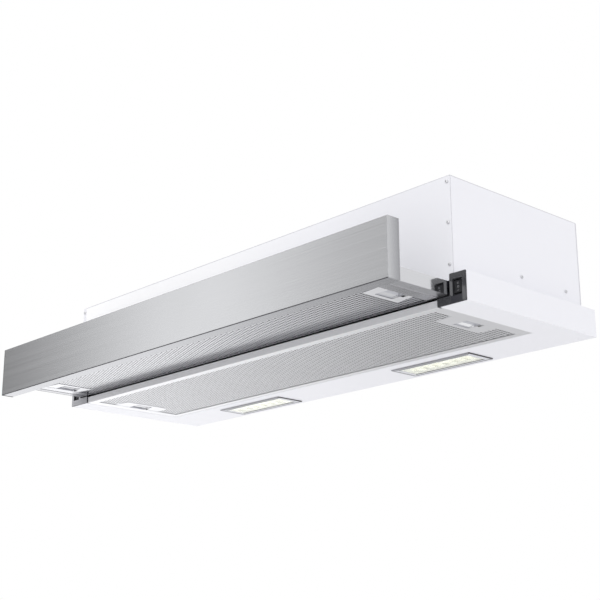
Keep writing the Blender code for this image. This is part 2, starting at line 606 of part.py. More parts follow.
# ---------------------------------------------------------------- lamps
for (side, s), cx in zip(SIDES, LAMP_X):
    x0, x1, y0, y1 = cx - LAMP_W / 2, cx + LAMP_W / 2, LAMP_Y - LAMP_D / 2, LAMP_Y + LAMP_D / 2
    bezel = [(x0, x1, y0, y1, -1.5, -0.3), (cx - 72.6, cx + 72.6, LAMP_Y - 22.6, LAMP_Y + 22.6, -1.5, 9.0)]
    hole = [(cx - 67.0, cx + 67.0, LAMP_Y - 18.0, LAMP_Y + 18.0, -3.0, 12.0)]
    obj("lamp_bezel_" + side, cells(bezel, hole), LAMPGREY)
    obj("lamp_lens_" + side, cells([(cx - 66.7, cx + 66.7, LAMP_Y - 17.7, LAMP_Y + 17.7, -1.0, 0.8)]), LENS)
    leds = [(cx - 65.0, cx + 65.0, LAMP_Y - 16.0, LAMP_Y + 16.0, 5.0, 6.6)]
    for i in range(6):
        lx = cx + (i - 2.5) * 20.0
        leds.append((lx - 2.5, lx + 2.5, LAMP_Y - 2.5, LAMP_Y + 2.5, 4.2, 6.0))
    obj("led_board_" + side, cells(leds), BOARD)
obj("led_driver", cells([(-55, 55, 232, 268, 1.6, 24.0)], [(-56, -50, 232, 238, 1, 10), (50, 56, 262, 269, 1, 10)]),
    BLACK)
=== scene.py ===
import bpy
import bmesh
import json
import math
import numpy as np
from mathutils import Matrix, Vector


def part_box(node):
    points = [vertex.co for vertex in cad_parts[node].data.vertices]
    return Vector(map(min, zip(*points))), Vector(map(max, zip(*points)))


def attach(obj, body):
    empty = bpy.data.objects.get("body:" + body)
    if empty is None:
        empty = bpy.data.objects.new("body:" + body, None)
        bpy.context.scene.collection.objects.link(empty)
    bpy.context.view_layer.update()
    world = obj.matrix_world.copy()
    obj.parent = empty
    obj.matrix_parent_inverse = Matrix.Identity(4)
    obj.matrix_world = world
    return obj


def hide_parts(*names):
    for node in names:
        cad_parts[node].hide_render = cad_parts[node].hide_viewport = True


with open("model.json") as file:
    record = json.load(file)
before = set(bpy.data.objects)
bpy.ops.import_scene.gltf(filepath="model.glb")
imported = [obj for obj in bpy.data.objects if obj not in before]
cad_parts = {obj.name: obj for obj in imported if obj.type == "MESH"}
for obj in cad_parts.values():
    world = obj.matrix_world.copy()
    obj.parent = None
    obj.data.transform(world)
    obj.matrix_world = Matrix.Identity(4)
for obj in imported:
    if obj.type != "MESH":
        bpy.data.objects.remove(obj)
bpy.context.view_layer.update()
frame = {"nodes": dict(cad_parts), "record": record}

# Working frame, millimetres: X right, Y back from the canopy's front, Z up from its underside.
MM = 0.001
OFF = Vector((0.0, -276.0, -40.0))
scene = bpy.context.scene
SIDES = (("left", -1), ("right", 1))


def nbox(node):
    """A CAD node's box in the working frame: x0, x1, y0, y1, z0, z1."""
    lo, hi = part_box(node)
    lo, hi = lo / MM - OFF, hi / MM - OFF
    return lo.x, hi.x, lo.y, hi.y, lo.z, hi.z


# ------------------------------------------------------------------ materials
class Mat:
    """Small helper around one Principled material."""

    def __init__(self, name, rough=0.4, metal=0.0, **fixed):
        self.m = bpy.data.materials.new(name)
        self.m.use_nodes = True
        self.nt = self.m.node_tree
        self.b = self.nt.nodes["Principled BSDF"]
        self.b.inputs["Roughness"].default_value = rough
        self.b.inputs["Metallic"].default_value = metal
        for k, v in fixed.items():
            self.b.inputs[k.replace("_", " ")].default_value = v
        self.coord = self.nt.nodes.new("ShaderNodeTexCoord").outputs["Object"]

    def node(self, kind, **props):
        n = self.nt.nodes.new(kind)
        for k, v in props.items():
            setattr(n, k, v)
        return n

    def link(self, a, b):
        self.nt.links.new(a, b)

    def mapped(self, scale):
        n = self.node("ShaderNodeMapping")
        n.inputs["Scale"].default_value = scale
        self.link(self.coord, n.inputs["Vector"])
        return n.outputs["Vector"]

    def noise(self, scale=1.0, detail=2.0, vec=None, rough=0.5, dist=0.0):
        n = self.node("ShaderNodeTexNoise")
        n.inputs["Scale"].default_value = scale
        n.inputs["Detail"].default_value = detail
        n.inputs["Roughness"].default_value = rough
        n.inputs["Distortion"].default_value = dist
        self.link(vec if vec is not None else self.coord, n.inputs["Vector"])
        return n.outputs["Fac"]

    def voronoi(self, scale, vec=None, feature="F1", out="Distance", rand=1.0):
        n = self.node("ShaderNodeTexVoronoi", feature=feature)
        n.inputs["Scale"].default_value = scale
        n.inputs["Randomness"].default_value = rand
        self.link(vec if vec is not None else self.coord, n.inputs["Vector"])
        return n.outputs[out]

    def ramp(self, fac, stops):
        n = self.node("ShaderNodeValToRGB")
        el = n.color_ramp.elements
        while len(el) < len(stops):
            el.new(0.5)
        for e, (p, c) in zip(el, stops):
            e.position = p
            e.color = (c[0], c[1], c[2], 1.0) if isinstance(c, (tuple, list)) else (c, c, c, 1.0)
        self.link(fac, n.inputs["Fac"])
        return n.outputs["Color"]

    def range(self, fac, a, b, lo=0.0, hi=1.0):
        n = self.node("ShaderNodeMapRange")
        n.inputs["From Min"].default_value = lo
        n.inputs["From Max"].default_value = hi
        n.inputs["To Min"].default_value = a
        n.inputs["To Max"].default_value = b
        self.link(fac, n.inputs["Value"])
        return n.outputs["Result"]

    def math(self, op, a, b):
        n = self.node("ShaderNodeMath", operation=op)
        for i, v in enumerate((a, b)):
            if isinstance(v, (int, float)):
                n.inputs[i].default_value = v
            else:
                self.link(v, n.inputs[i])
        return n.outputs[0]

    def mix(self, fac, a, b):
        n = self.node("ShaderNodeMix", data_type="RGBA")
        if isinstance(fac, (int, float)):
            n.inputs["Factor"].default_value = fac
        else:
            self.link(fac, n.inputs["Factor"])
        for i, v in ((6, a), (7, b)):
            if isinstance(v, (tuple, list)):
                n.inputs[i].default_value = (v[0], v[1], v[2], 1.0)
            else:
                self.link(v, n.inputs[i])
        return n.outputs[2]

    def color(self, out):
        self.link(out, self.b.inputs["Base Color"])

    def rough(self, out):
        self.link(out, self.b.inputs["Roughness"])

    def bump(self, height, strength, distance=0.0001):
        n = self.node("ShaderNodeBump")
        n.inputs["Strength"].default_value = strength
        n.inputs["Distance"].default_value = distance
        self.link(height, n.inputs["Height"])
        self.link(n.outputs["Normal"], self.b.inputs["Normal"])

    def tangent(self, uv):
        n = self.node("ShaderNodeTangent", direction_type="UV_MAP", uv_map=uv)
        self.link(n.outputs["Tangent"], self.b.inputs["Tangent"])


def white_paint(name="white_paint", k=1.0, stops=None):
    """Satin powder coat: faint orange peel and a very slight drift in tone; stops paint shade on it as a ramp along the
    width.
    """
    a = Mat(name, 0.42, 0.0, Specular_IOR_Level=0.42)
    drift = a.noise(5.0, 3.0)
    fine = a.noise(700.0, 2.0)
    speck = a.noise(2600.0, 1.0)
    # painted shade: with stops, the colour follows a ramp along X
    if stops:
        sep = a.node("ShaderNodeSeparateXYZ")
        a.link(a.coord, sep.inputs[0])
        along = a.ramp(a.range(sep.outputs["X"], 0.0, 1.0, -0.43, 0.43), stops)
        a.color(a.mix(a.math("MULTIPLY", drift, 0.04), along, (0.835, 0.836, 0.875)))
    else:
        a.color(a.mix(a.math("MULTIPLY", drift, 0.6), (0.835 * k, 0.836 * k, 0.875 * k), (0.855 * k, 0.856 * k, 0.888 * k)))
    a.rough(a.range(fine, 0.36, 0.47, 0.3, 0.7))
    a.bump(a.math("ADD", fine, a.math("MULTIPLY", speck, 0.25)), 0.10, 0.00012)
    return a.m


def brushed(name, tint, lo, hi, aniso=0.85, streak=(7.0, 1400.0, 1400.0), strength=0.10, uv="brush", depth=0.10):
    """Stainless steel brushed along one direction: long fine scratches in tone, gloss and height."""
    a = Mat(name, 0.3, 1.0, Anisotropic=aniso)
    v = a.mapped(streak)
    v2 = a.mapped((streak[0] * 0.45, streak[1] * 0.32, streak[2] * 0.32))
    fine = a.noise(1.0, 3.0, v, 0.6)
    broad = a.noise(1.0, 2.0, v2, 0.5)
    cloud = a.noise(9.0, 2.0)
    s = a.math("ADD", a.math("MULTIPLY", fine, 0.62), a.math("MULTIPLY", broad, 0.38))
    k = 1.0 - depth
    a.color(a.mix(a.range(s, 0.0, 1.0, 0.32, 0.68), tuple(c * k for c in tint), tuple(min(1.0, c * (2 - k)) for c in tint)))
    r = a.math("ADD", a.range(s, lo, hi, 0.3, 0.7), a.range(cloud, -0.015, 0.015))
    a.rough(r)
    a.bump(s, strength, 0.00005)
    if uv:
        a.tangent(uv)
    return a.m


def polished_steel():
    """Bright stainless strip: mirror-like, with the faintest drawing lines along its length."""
    a = Mat("polished_steel", 0.06, 1.0)
    s = a.noise(1.0, 3.0, a.mapped((1500.0, 6.0, 1500.0)), 0.55)
    c = a.noise(14.0, 2.0)
    a.color(a.mix(c, (0.76, 0.765, 0.785), (0.81, 0.815, 0.83)))
    a.rough(a.range(s, 0.07, 0.13, 0.3, 0.7))
    a.bump(s, 0.03, 0.00003)
    return a.m


def aluminium(name, lo, hi, r0, r1, grain=900.0, strength=0.06):
    """Satin anodised aluminium with a fine matt grain and faint rolling lines along X."""
    a = Mat(name, 0.35, 1.0)
    g = a.noise(grain, 3.0)
    lines = a.noise(1.0, 2.0, a.mapped((10.0, 700.0, 700.0)))
    d = a.noise(16.0, 2.0)
    s = a.math("ADD", a.math("MULTIPLY", g, 0.5), a.math("MULTIPLY", lines, 0.5))
    a.color(a.mix(a.math("ADD", a.math("MULTIPLY", s, 0.7), a.math("MULTIPLY", d, 0.3)), lo, hi))
    a.rough(a.range(s, r0, r1, 0.3, 0.7))
    a.bump(s, strength, 0.00006)
    return a.m


def expanded_mesh_painted_shade():
    """Stack of expanded aluminium inside the cassette, seen through the holes: painted near-black for the shade inside
    the filter, with lighter strands.
    """
    a = Mat("filter_core_painted_shade", 0.4, 1.0)
    v = a.mapped((520.0, 300.0, 300.0))
    cell = a.voronoi(1.0, v, "DISTANCE_TO_EDGE", "Distance", 0.25)
    strand = a.ramp(cell, [(0.0, (0.11, 0.113, 0.125)), (0.16, (0.07, 0.072, 0.082)), (0.30, (0.02, 0.02, 0.025)), (1.0, (0.008, 0.008, 0.01))])
    d = a.noise(60.0, 3.0)
    a.color(a.mix(a.math("MULTIPLY", d, 0.35), strand, (0.02, 0.02, 0.024)))
    a.rough(a.range(d, 0.3, 0.55))
    a.bump(cell, 0.7, 0.0006)
    return a.m


def galvanised():
    """Zinc spangle: crystal patches that differ in tone and gloss."""
    a = Mat("galvanised_steel", 0.35, 1.0)
    n = a.noise(40.0, 3.0, dist=0.4)
    mixv = a.node("ShaderNodeVectorMath", operation="ADD")
    sc = a.node("ShaderNodeVectorMath", operation="SCALE")
    a.link(a.mix(1.0, (0, 0, 0), n), sc.inputs[0])
    sc.inputs["Scale"].default_value = 0.012
    a.link(a.coord, mixv.inputs[0])
    a.link(sc.outputs[0], mixv.inputs[1])
    vn = a.node("ShaderNodeTexVoronoi", feature="F1")
    vn.inputs["Scale"].default_value = 120.0
    a.link(mixv.outputs[0], vn.inputs["Vector"])
    bw = a.node("ShaderNodeRGBToBW")
    a.link(vn.outputs["Color"], bw.inputs[0])
    tone = bw.outputs[0]
    streaks = a.noise(1.0, 2.0, a.mapped((900.0, 40.0, 900.0)))
    t = a.math("ADD", a.math("MULTIPLY", tone, 0.75), a.math("MULTIPLY", streaks, 0.25))
    a.color(a.mix(t, (0.50, 0.515, 0.53), (0.70, 0.71, 0.72)))
    a.rough(a.range(t, 0.26, 0.46))
    a.bump(t, 0.12, 0.00008)
    return a.m


def moulded(name, lo, hi, r0, r1, grain=1500.0, strength=0.25, spec=0.45, depth=0.0001):
    """Injection-moulded plastic with a fine spark-eroded grain."""
    a = Mat(name, (r0 + r1) / 2, 0.0, Specular_IOR_Level=spec)
    g = a.noise(grain, 3.0, rough=0.6)
    d = a.noise(22.0, 2.0)
    a.color(a.mix(a.math("ADD", a.math("MULTIPLY", g, 0.35), a.math("MULTIPLY", d, 0.65)), lo, hi))
    a.rough(a.range(g, r0, r1, 0.3, 0.7))
    a.bump(g, strength, depth)
    return a.m


def zinc():
    a = Mat("screw_zinc", 0.25, 1.0)
    n = a.noise(500.0, 3.0)
    a.color(a.mix(n, (0.66, 0.66, 0.68), (0.76, 0.76, 0.77)))
    a.rough(a.range(n, 0.34, 0.50, 0.3, 0.7))
    a.bump(n, 0.08, 0.00004)
    return a.m


def lens_material(name, lo, hi, through, glow):
    """Frosted acrylic with a fine prism pattern moulded in, a trace of green."""
    a = Mat(name, 0.28, 0.0, IOR=1.49, Specular_IOR_Level=0.5)
    w1 = a.node("ShaderNodeTexWave", wave_type="BANDS", bands_direction="X")
    w1.inputs["Scale"].default_value = 160.0
    w2 = a.node("ShaderNodeTexWave", wave_type="BANDS", bands_direction="Y")
    w2.inputs["Scale"].default_value = 160.0
    a.link(a.coord, w1.inputs["Vector"])
    a.link(a.coord, w2.inputs["Vector"])
    p = a.math("ADD", w1.outputs["Fac"], w2.outputs["Fac"])
    d = a.noise(30.0, 2.0)
    a.color(a.mix(d, lo, hi))
    a.rough(a.range(p, 0.24, 0.36, 0.0, 2.0))
    a.bump(p, 0.04, 0.0001)
    a.b.inputs["Transmission Weight"].default_value = through
    a.b.inputs["Emission Color"].default_value = (1.0, 1.0, 0.90, 1.0)
    a.b.inputs["Emission Strength"].default_value = glow
    return a.m


def board_material():
    a = Mat("led_board", 0.45, 0.0)
    d = a.noise(90.0, 3.0)
    g = a.noise(1800.0, 2.0)
    a.color(a.mix(d, (0.84, 0.85, 0.76), (0.90, 0.90, 0.82)))
    a.rough(a.range(g, 0.38, 0.52))
    a.bump(g, 0.1, 0.00005)
    a.b.inputs["Emission Color"].default_value = (1.0, 1.0, 0.89, 1.0)
    a.b.inputs["Emission Strength"].default_value = 1.15
    return a.m


def phosphor_material():
    a = Mat("led_phosphor", 0.3, 0.0)
    g = a.noise(1500.0, 2.0)
    a.color(a.mix(g, (0.80, 0.74, 0.30), (0.88, 0.82, 0.40)))
    a.rough(a.range(g, 0.25, 0.35))
    a.b.inputs["Emission Color"].default_value = (1.0, 0.93, 0.55, 1.0)
    a.b.inputs["Emission Strength"].default_value = 0.45
    return a.m


def fascia_end_painted_reflection():
    """The fascia's folded ends: the same brushed steel, with a painted reflection that darkens its colour towards the
    back edge.
    """
    a = Mat("brushed_steel_end_painted_reflection", 0.3, 1.0, Anisotropic=0.9)
    sep = a.node("ShaderNodeSeparateXYZ")
    a.link(a.coord, sep.inputs[0])
    t = a.range(sep.outputs["Y"], 0.0, 1.0, -0.4164, -0.3965)
    s = a.noise(1.0, 3.0, a.mapped((2600.0, 2.6, 2600.0)), 0.6)
    a.color(a.mix(t, (0.66, 0.665, 0.68), (0.40, 0.403, 0.42)))
    a.rough(a.range(s, 0.20, 0.27, 0.3, 0.7))
    a.bump(s, 0.06, 0.00005)
    a.tangent("brush")
    return a.m


WHITE = white_paint()
# painted shade: the front sheet's white paint darkens from left to right along X
WHITE_FRONT_PAINTED_SHADE = white_paint("white_paint_front_painted_shade", 1.0, [(0.0, (0.966, 0.966, 0.972)), (0.45, (0.935, 0.935, 0.950)), (0.585, (0.900, 0.900, 0.925)),
                                                     (0.72, (0.860, 0.860, 0.893)), (0.86, (0.807, 0.808, 0.843)), (1.0, (0.790, 0.791, 0.826))])
# painted shade: a darker copy of the white paint for thin lines along sheet edges
WHITE_EDGE_SHADE = white_paint("white_paint_edge_painted_shade", 0.80)
STEEL_END_PAINTED_REFLECTION = fascia_end_painted_reflection()
STEEL = brushed("brushed_steel", (0.615, 0.62, 0.63), 0.20, 0.27, 0.9, (2.6, 2600.0, 2600.0), 0.06, "brush", 0.055)
POLISH = polished_steel()
ALU = aluminium("filter_aluminium", (0.69, 0.692, 0.71), (0.76, 0.762, 0.78), 0.34, 0.44)
ALU_SKIN = aluminium("filter_skin", (0.64, 0.643, 0.66), (0.71, 0.713, 0.73), 0.34, 0.44, 1100.0)
# painted shade: a darker copy of the punched skin for the tray cassette, which sits under the fascia
TRAY_SKIN_SHADE = aluminium("tray_filter_skin_painted_shade", (0.42, 0.423, 0.445), (0.48, 0.483, 0.505), 0.14, 0.24, 1100.0)
# painted light: a lighter, less metallic copy of the filter aluminium for the fixed cassette's front face
ALU_EDGE_LIT = aluminium("filter_edge_painted_light", (0.80, 0.80, 0.82), (0.86, 0.86, 0.875), 0.40, 0.50)
ALU_EDGE_LIT.node_tree.nodes["Principled BSDF"].inputs["Metallic"].default_value = 0.3
# painted shade: a darker copy of the filter aluminium for the tray cassette's frame, which sits under the fascia
ALU_TRAY_SHADE = aluminium("tray_filter_frame_painted_shade", (0.36, 0.362, 0.382), (0.41, 0.412, 0.432), 0.14, 0.24)
# painted shade: near-black brushed steel for a dark line along the fascia's bottom front edge and left end
STEEL_HEM_SHADE = brushed("brushed_steel_hem_painted_shade", (0.12, 0.12, 0.13), 0.34, 0.42, 0.6, (2.6, 2600.0, 2600.0), 0.06, "brush", 0.1)
# painted shade: a darker copy of the brushed steel on the fascia's rounded vertical corners, dimming their highlight
STEEL_CORNER_SHADE = brushed("brushed_steel_corner_painted_shade", (0.40, 0.404, 0.415), 0.24, 0.32, 0.9, (2.6, 2600.0, 2600.0), 0.06, "brush", 0.035)
# painted shade: a darker copy of the brushed steel on the fascia's downward faces
STEEL_RETURN_SHADE = brushed("brushed_steel_return_painted_shade", (0.34, 0.343, 0.36), 0.22, 0.30, 0.9, (2.6, 2600.0, 2600.0), 0.06, "brush", 0.035)
# a darker metal for the arms' downward faces, in place of the polished steel
RUNNER = aluminium("runner_underside", (0.34, 0.342, 0.36), (0.40, 0.402, 0.42), 0.25, 0.36)
CORE_PAINTED_SHADE = expanded_mesh_painted_shade()
GALV = galvanised()
DARK = moulded("dark_grey_plastic", (0.050, 0.051, 0.060), (0.066, 0.067, 0.078), 0.34, 0.46)
BRACKET = moulded("bracket_plastic", (0.024, 0.0245, 0.029), (0.032, 0.0325, 0.038), 0.14, 0.22, 1500.0, 0.06, 1.0)
BRACKET_PALE = moulded("bracket_plastic_pale", (0.37, 0.372, 0.395), (0.43, 0.432, 0.455), 0.20, 0.30, 1500.0, 0.06, 0.6)
DARK2 = moulded("dark_grey_plastic_matt", (0.026, 0.026, 0.033), (0.036, 0.036, 0.044), 0.46, 0.60, 1500.0, 0.25, 0.3)
BLACK = moulded("black_plastic", (0.006, 0.006, 0.008), (0.012, 0.012, 0.015), 0.30, 0.40, 900.0, 0.08, 0.18)
MARK = moulded("switch_mark", (0.17, 0.17, 0.18), (0.21, 0.21, 0.22), 0.4, 0.5, 1500.0, 0.1)
# the lamp frame's own grey; on the latch grips it is painted shade
LAMPGREY_AND_LATCH_SHADE = moulded("lamp_grey", (0.43, 0.435, 0.47), (0.50, 0.505, 0.54), 0.28, 0.40, 1200.0, 0.12)
# painted shade: a darker copy of the latch grey for the tray cassette's latches
LATCH_TRAY_SHADE = moulded("latch_grey_tray_painted_shade", (0.52, 0.525, 0.545), (0.58, 0.585, 0.60), 0.30, 0.42, 1200.0, 0.12)
LATCH = moulded("latch_grey", (0.80, 0.805, 0.82), (0.87, 0.875, 0.885), 0.30, 0.42, 1200.0, 0.12)
LENS = lens_material("lamp_lens", (0.96, 0.97, 0.92), (0.98, 0.988, 0.95), 0.72, 0.06)
LENS_WELL = lens_material("lamp_lens_well", (0.80, 0.815, 0.74), (0.84, 0.85, 0.78), 0.60, 0.02)
# painted shade: a darker copy of the lamp grey for the bezel's front and rear bands and left end
LAMP_FRAME_PAINTED_SHADE = moulded("lamp_frame_shade", (0.26, 0.263, 0.285), (0.30, 0.303, 0.325), 0.28, 0.40, 1200.0, 0.12)
# painted shade: near-black for thin shadow lines round the bezel
LAMP_RIM_SHADE = moulded("lamp_frame_seam_painted_shade", (0.035, 0.035, 0.04), (0.05, 0.05, 0.056), 0.34, 0.46, 1200.0, 0.12)
# painted light: a lighter copy of the lamp grey for the bezel's underside
LAMP_FRAME_PAINTED_LIGHT = moulded("lamp_frame_painted_light", (0.66, 0.665, 0.70), (0.73, 0.735, 0.77), 0.28, 0.40, 1200.0, 0.12)
BOARD = board_material()
PHOSPHOR = phosphor_material()
# painted shade: near-black for shade lines along the fascia's left end and the left arm's bottom edges
PAINTED_EDGE_SHADE = moulded("folded_edge_shade", (0.030, 0.030, 0.034), (0.045, 0.045, 0.050), 0.60, 0.75, 1200.0, 0.12, 0.08)
ZINC = zinc()
NYLON = moulded("nylon", (0.72, 0.72, 0.68), (0.80, 0.80, 0.76), 0.36, 0.50, 1100.0, 0.12, 0.4)
IMPELLER = moulded("impeller_black", (0.018, 0.018, 0.020), (0.028, 0.028, 0.031), 0.40, 0.55, 800.0, 0.15)

# ------------------------------------------------------------------ mesh tools


def emit(name, bm, mat, body, nodes=(), sharp=50.0, weighted=True, uv=False, pick=None):
    """Turns a working-frame bmesh into a finished piece that rides on a body."""
    bmesh.ops.recalc_face_normals(bm, faces=bm.faces)
    if pick:
        bm.normal_update()
        for f in bm.faces:
            f.material_index = pick(f.normal, f.calc_center_median())
    for v in bm.verts:
        v.co = (v.co + OFF) * MM
    me = bpy.data.meshes.new(name)
    bm.to_mesh(me)
    bm.free()
    for m in (mat if isinstance(mat, (list, tuple)) else [mat]):
        me.materials.append(m)
    me.shade_smooth()
    me.set_sharp_from_angle(angle=math.radians(sharp))
    if uv:
        brush_uv(me)
    ob = bpy.data.objects.new(name, me)
    scene.collection.objects.link(ob)
    if weighted:
        mod = ob.modifiers.new("weighted", "WEIGHTED_NORMAL")
        mod.keep_sharp = True
        mod.weight = 100
    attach(ob, body)
    if nodes:
        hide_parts(*nodes)
    return ob


def brush_uv(me):
    """UV whose u runs across the brushing, so the highlight stretches across it. Brushing runs along X, and along Y on the ends."""
    uv = me.uv_layers.new(name="brush")
    for p in me.polygons:
        n = p.normal
        for li in p.loop_indices:
            co = me.vertices[me.loops[li].vertex_index].co
            if abs(n.z) > 0.71:
                uv.data[li].uv = (co.y * 4, co.x)
            elif abs(n.x) > 0.71:
                uv.data[li].uv = (co.z * 4, co.y)
            else:
                uv.data[li].uv = (co.z * 4, co.x)


def cells(adds, cuts=()):
    """Union of axis-aligned boxes less other boxes, as one clean shell of large faces."""
    boxes = list(adds) + list(cuts)
    xs, ys, zs = (sorted({round(b[k], 4) for b in boxes} | {round(b[k + 1], 4) for b in boxes}) for k in (0, 2, 4))

    def inside(x, y, z, b):
        return b[0] < x < b[1] and b[2] < y < b[3] and b[4] < z < b[5]

    full = set()
    for i in range(len(xs) - 1):
        cx = (xs[i] + xs[i + 1]) / 2
        for j in range(len(ys) - 1):
            cy = (ys[j] + ys[j + 1]) / 2
            for k in range(len(zs) - 1):
                cz = (zs[k] + zs[k + 1]) / 2
                if any(inside(cx, cy, cz, b) for b in adds) and not any(inside(cx, cy, cz, b) for b in cuts):
                    full.add((i, j, k))
    bm = bmesh.new()
    verts = {}

    def vert(i, j, k):
        if (i, j, k) not in verts:
            verts[(i, j, k)] = bm.verts.new((xs[i], ys[j], zs[k]))
        return verts[(i, j, k)]

    sides = {(-1, 0, 0): ((0, 0, 0), (0, 0, 1), (0, 1, 1), (0, 1, 0)), (1, 0, 0): ((1, 0, 0), (1, 1, 0), (1, 1, 1), (1, 0, 1)),
             (0, -1, 0): ((0, 0, 0), (1, 0, 0), (1, 0, 1), (0, 0, 1)), (0, 1, 0): ((0, 1, 0), (0, 1, 1), (1, 1, 1), (1, 1, 0)),
             (0, 0, -1): ((0, 0, 0), (0, 1, 0), (1, 1, 0), (1, 0, 0)), (0, 0, 1): ((0, 0, 1), (1, 0, 1), (1, 1, 1), (0, 1, 1))}
    for (i, j, k) in sorted(full):
        for d, corners in sides.items():
            if (i + d[0], j + d[1], k + d[2]) not in full:
                bm.faces.new([vert(i + a, j + b, k + c) for a, b, c in corners])
    bmesh.ops.recalc_face_normals(bm, faces=bm.faces)
    bmesh.ops.dissolve_limit(bm, angle_limit=0.001, use_dissolve_boundaries=False, verts=bm.verts, edges=bm.edges, delimit=set())
    return bm


def edge_mid(e):
    return (e.verts[0].co + e.verts[1].co) / 2


def edge_dir(e):
    d = (e.verts[1].co - e.verts[0].co)
    return d.normalized() if d.length > 1e-9 else d


def soften(bm, w=0.25, segs=2, test=None, angle=32.0, clamp=True):
    """Rounds the sharp edges that test accepts, or all of them."""
    es = [e for e in bm.edges if len(e.link_faces) == 2 and e.calc_face_angle(0.0) > math.radians(angle) and (test is None or test(e))]
    if es:
        bmesh.ops.bevel(bm, geom=es, offset=w, offset_type="OFFSET", segments=segs, profile=0.5, affect="EDGES", clamp_overlap=clamp)
    return bm


def prism(points, axis, lo, hi):
    """Extrudes a closed outline along an axis; points are the other two coordinates in X, Y, Z order."""
    bm = bmesh.new()

    def at(p, t):
        return (t, p[0], p[1]) if axis == "x" else ((p[0], t, p[1]) if axis == "y" else (p[0], p[1], t))

    a = [bm.verts.new(at(p, lo)) for p in points]
    b = [bm.verts.new(at(p, hi)) for p in points]
    bm.faces.new(a)
    bm.faces.new(b[::-1])
    for i in range(len(points)):
        j = (i + 1) % len(points)
        bm.faces.new((a[i], a[j], b[j], b[i]))
    bmesh.ops.recalc_face_normals(bm, faces=bm.faces)
    return bm


def circle(cx, cy, r, n, start=0.0):
    return [(cx + r * math.cos(start + 2 * math.pi * i / n), cy + r * math.sin(start + 2 * math.pi * i / n)) for i in range(n)]


def disc(centre, axis, r, lo, hi, n=32, start=0.0):
    return prism(circle(centre[0], centre[1], r, n, start), axis, lo, hi)


def lathe(profile, centre, axis, n, wave=None):
    """Ring turned from a closed profile of (radius, position along the axis)."""
    bm = bmesh.new()
    rings = []
    for i in range(n):
        a = 2 * math.pi * i / n
        ring = []
        for r, t in profile:
            if wave:
                r = wave(a, r, t)
            u, v = centre[0] + r * math.cos(a), centre[1] + r * math.sin(a)
            ring.append(bm.verts.new((t, u, v) if axis == "x" else ((u, t, v) if axis == "y" else (u, v, t))))
        rings.append(ring)
    m = len(profile)
    for i in range(n):
        p, q = rings[i], rings[(i + 1) % n]
        for j in range(m):
            k = (j + 1) % m
            bm.faces.new((p[j], q[j], q[k], p[k]))
    bmesh.ops.recalc_face_normals(bm, faces=bm.faces)
    return bm


def rrect(cx, cy, hw, hd, r, n=6):
    """Rounded rectangle, anticlockwise."""
    pts = []
    for sx, sy, a0 in ((1, 1, 0.0), (-1, 1, 90.0), (-1, -1, 180.0), (1, -1, 270.0)):
        for i in range(n + 1):
            a = math.radians(a0 + 90.0 * i / n)
            pts.append((cx + sx * (hw - r) + r * math.cos(a), cy + sy * (hd - r) + r * math.sin(a)))
    return pts


def loft(rings, caps=True, loop=False):
    """Skins lists of 3-D points of the same length; loop joins the last ring to the first."""
    bm = bmesh.new()
    rows = [[bm.verts.new(p) for p in ring] for ring in rings]
    n = len(rows[0])
    pairs = list(zip(rows, rows[1:])) + ([(rows[-1], rows[0])] if loop else [])
    for p, q in pairs:
        for i in range(n):
            j = (i + 1) % n
            bm.faces.new((p[i], p[j], q[j], q[i]))
    if caps and not loop:
        bm.faces.new(rows[0][::-1])
        bm.faces.new(rows[-1])
    bmesh.ops.recalc_face_normals(bm, faces=bm.faces)
    return bm


def rr_loft(cx, cy, rings, caps=True, loop=False, n=6):
    """rings of (half width, half depth, corner radius, z)."""
    return loft([[(x, y, z) for x, y in rrect(cx, cy, hw, hd, r, n)] for hw, hd, r, z in rings], caps, loop)


def join(bms):
    """Several closed shells in one bmesh."""
    out = bmesh.new()
    for bm in bms:
        me = bpy.data.meshes.new("tmp")
        bm.to_mesh(me)
        bm.free()
        out.from_mesh(me)
        bpy.data.meshes.remove(me)
    return out


def boolean(base, steps):
    """Exact boolean steps on bmeshes: [("UNION" or "DIFFERENCE", bmesh), ...]."""
    def temp(bm):
        me = bpy.data.meshes.new("tool")
        bm.to_mesh(me)
        bm.free()
        ob = bpy.data.objects.new("tool", me)
        scene.collection.objects.link(ob)
        return ob

    a = temp(base)
    for op, other in steps:
        b = temp(other)
        mod = a.modifiers.new("cut", "BOOLEAN")
        mod.operation = op
        mod.solver = "EXACT"
        mod.object = b
        dg = bpy.context.evaluated_depsgraph_get()
        dg.update()
        me = bpy.data.meshes.new_from_object(a.evaluated_get(dg))
        a.modifiers.remove(mod)
        a.data = me
        bpy.data.objects.remove(b, do_unlink=True)
    bm = bmesh.new()
    bm.from_mesh(a.data)
    bpy.data.objects.remove(a, do_unlink=True)
    bmesh.ops.remove_doubles(bm, verts=bm.verts, dist=0.002)
    bmesh.ops.dissolve_degenerate(bm, edges=bm.edges, dist=0.001)
    return bm


def mirror_boxes(boxes, s):
    return [((b[0], b[1]) if s > 0 else (-b[1], -b[0])) + tuple(b[2:]) for b in boxes]


def flip_x(bm):
    for v in bm.verts:
        v.co.x = -v.co.x
    bmesh.ops.reverse_faces(bm, faces=bm.faces)
    return bm


def near(a, b, tol=0.02):
    return abs(a - b) < tol


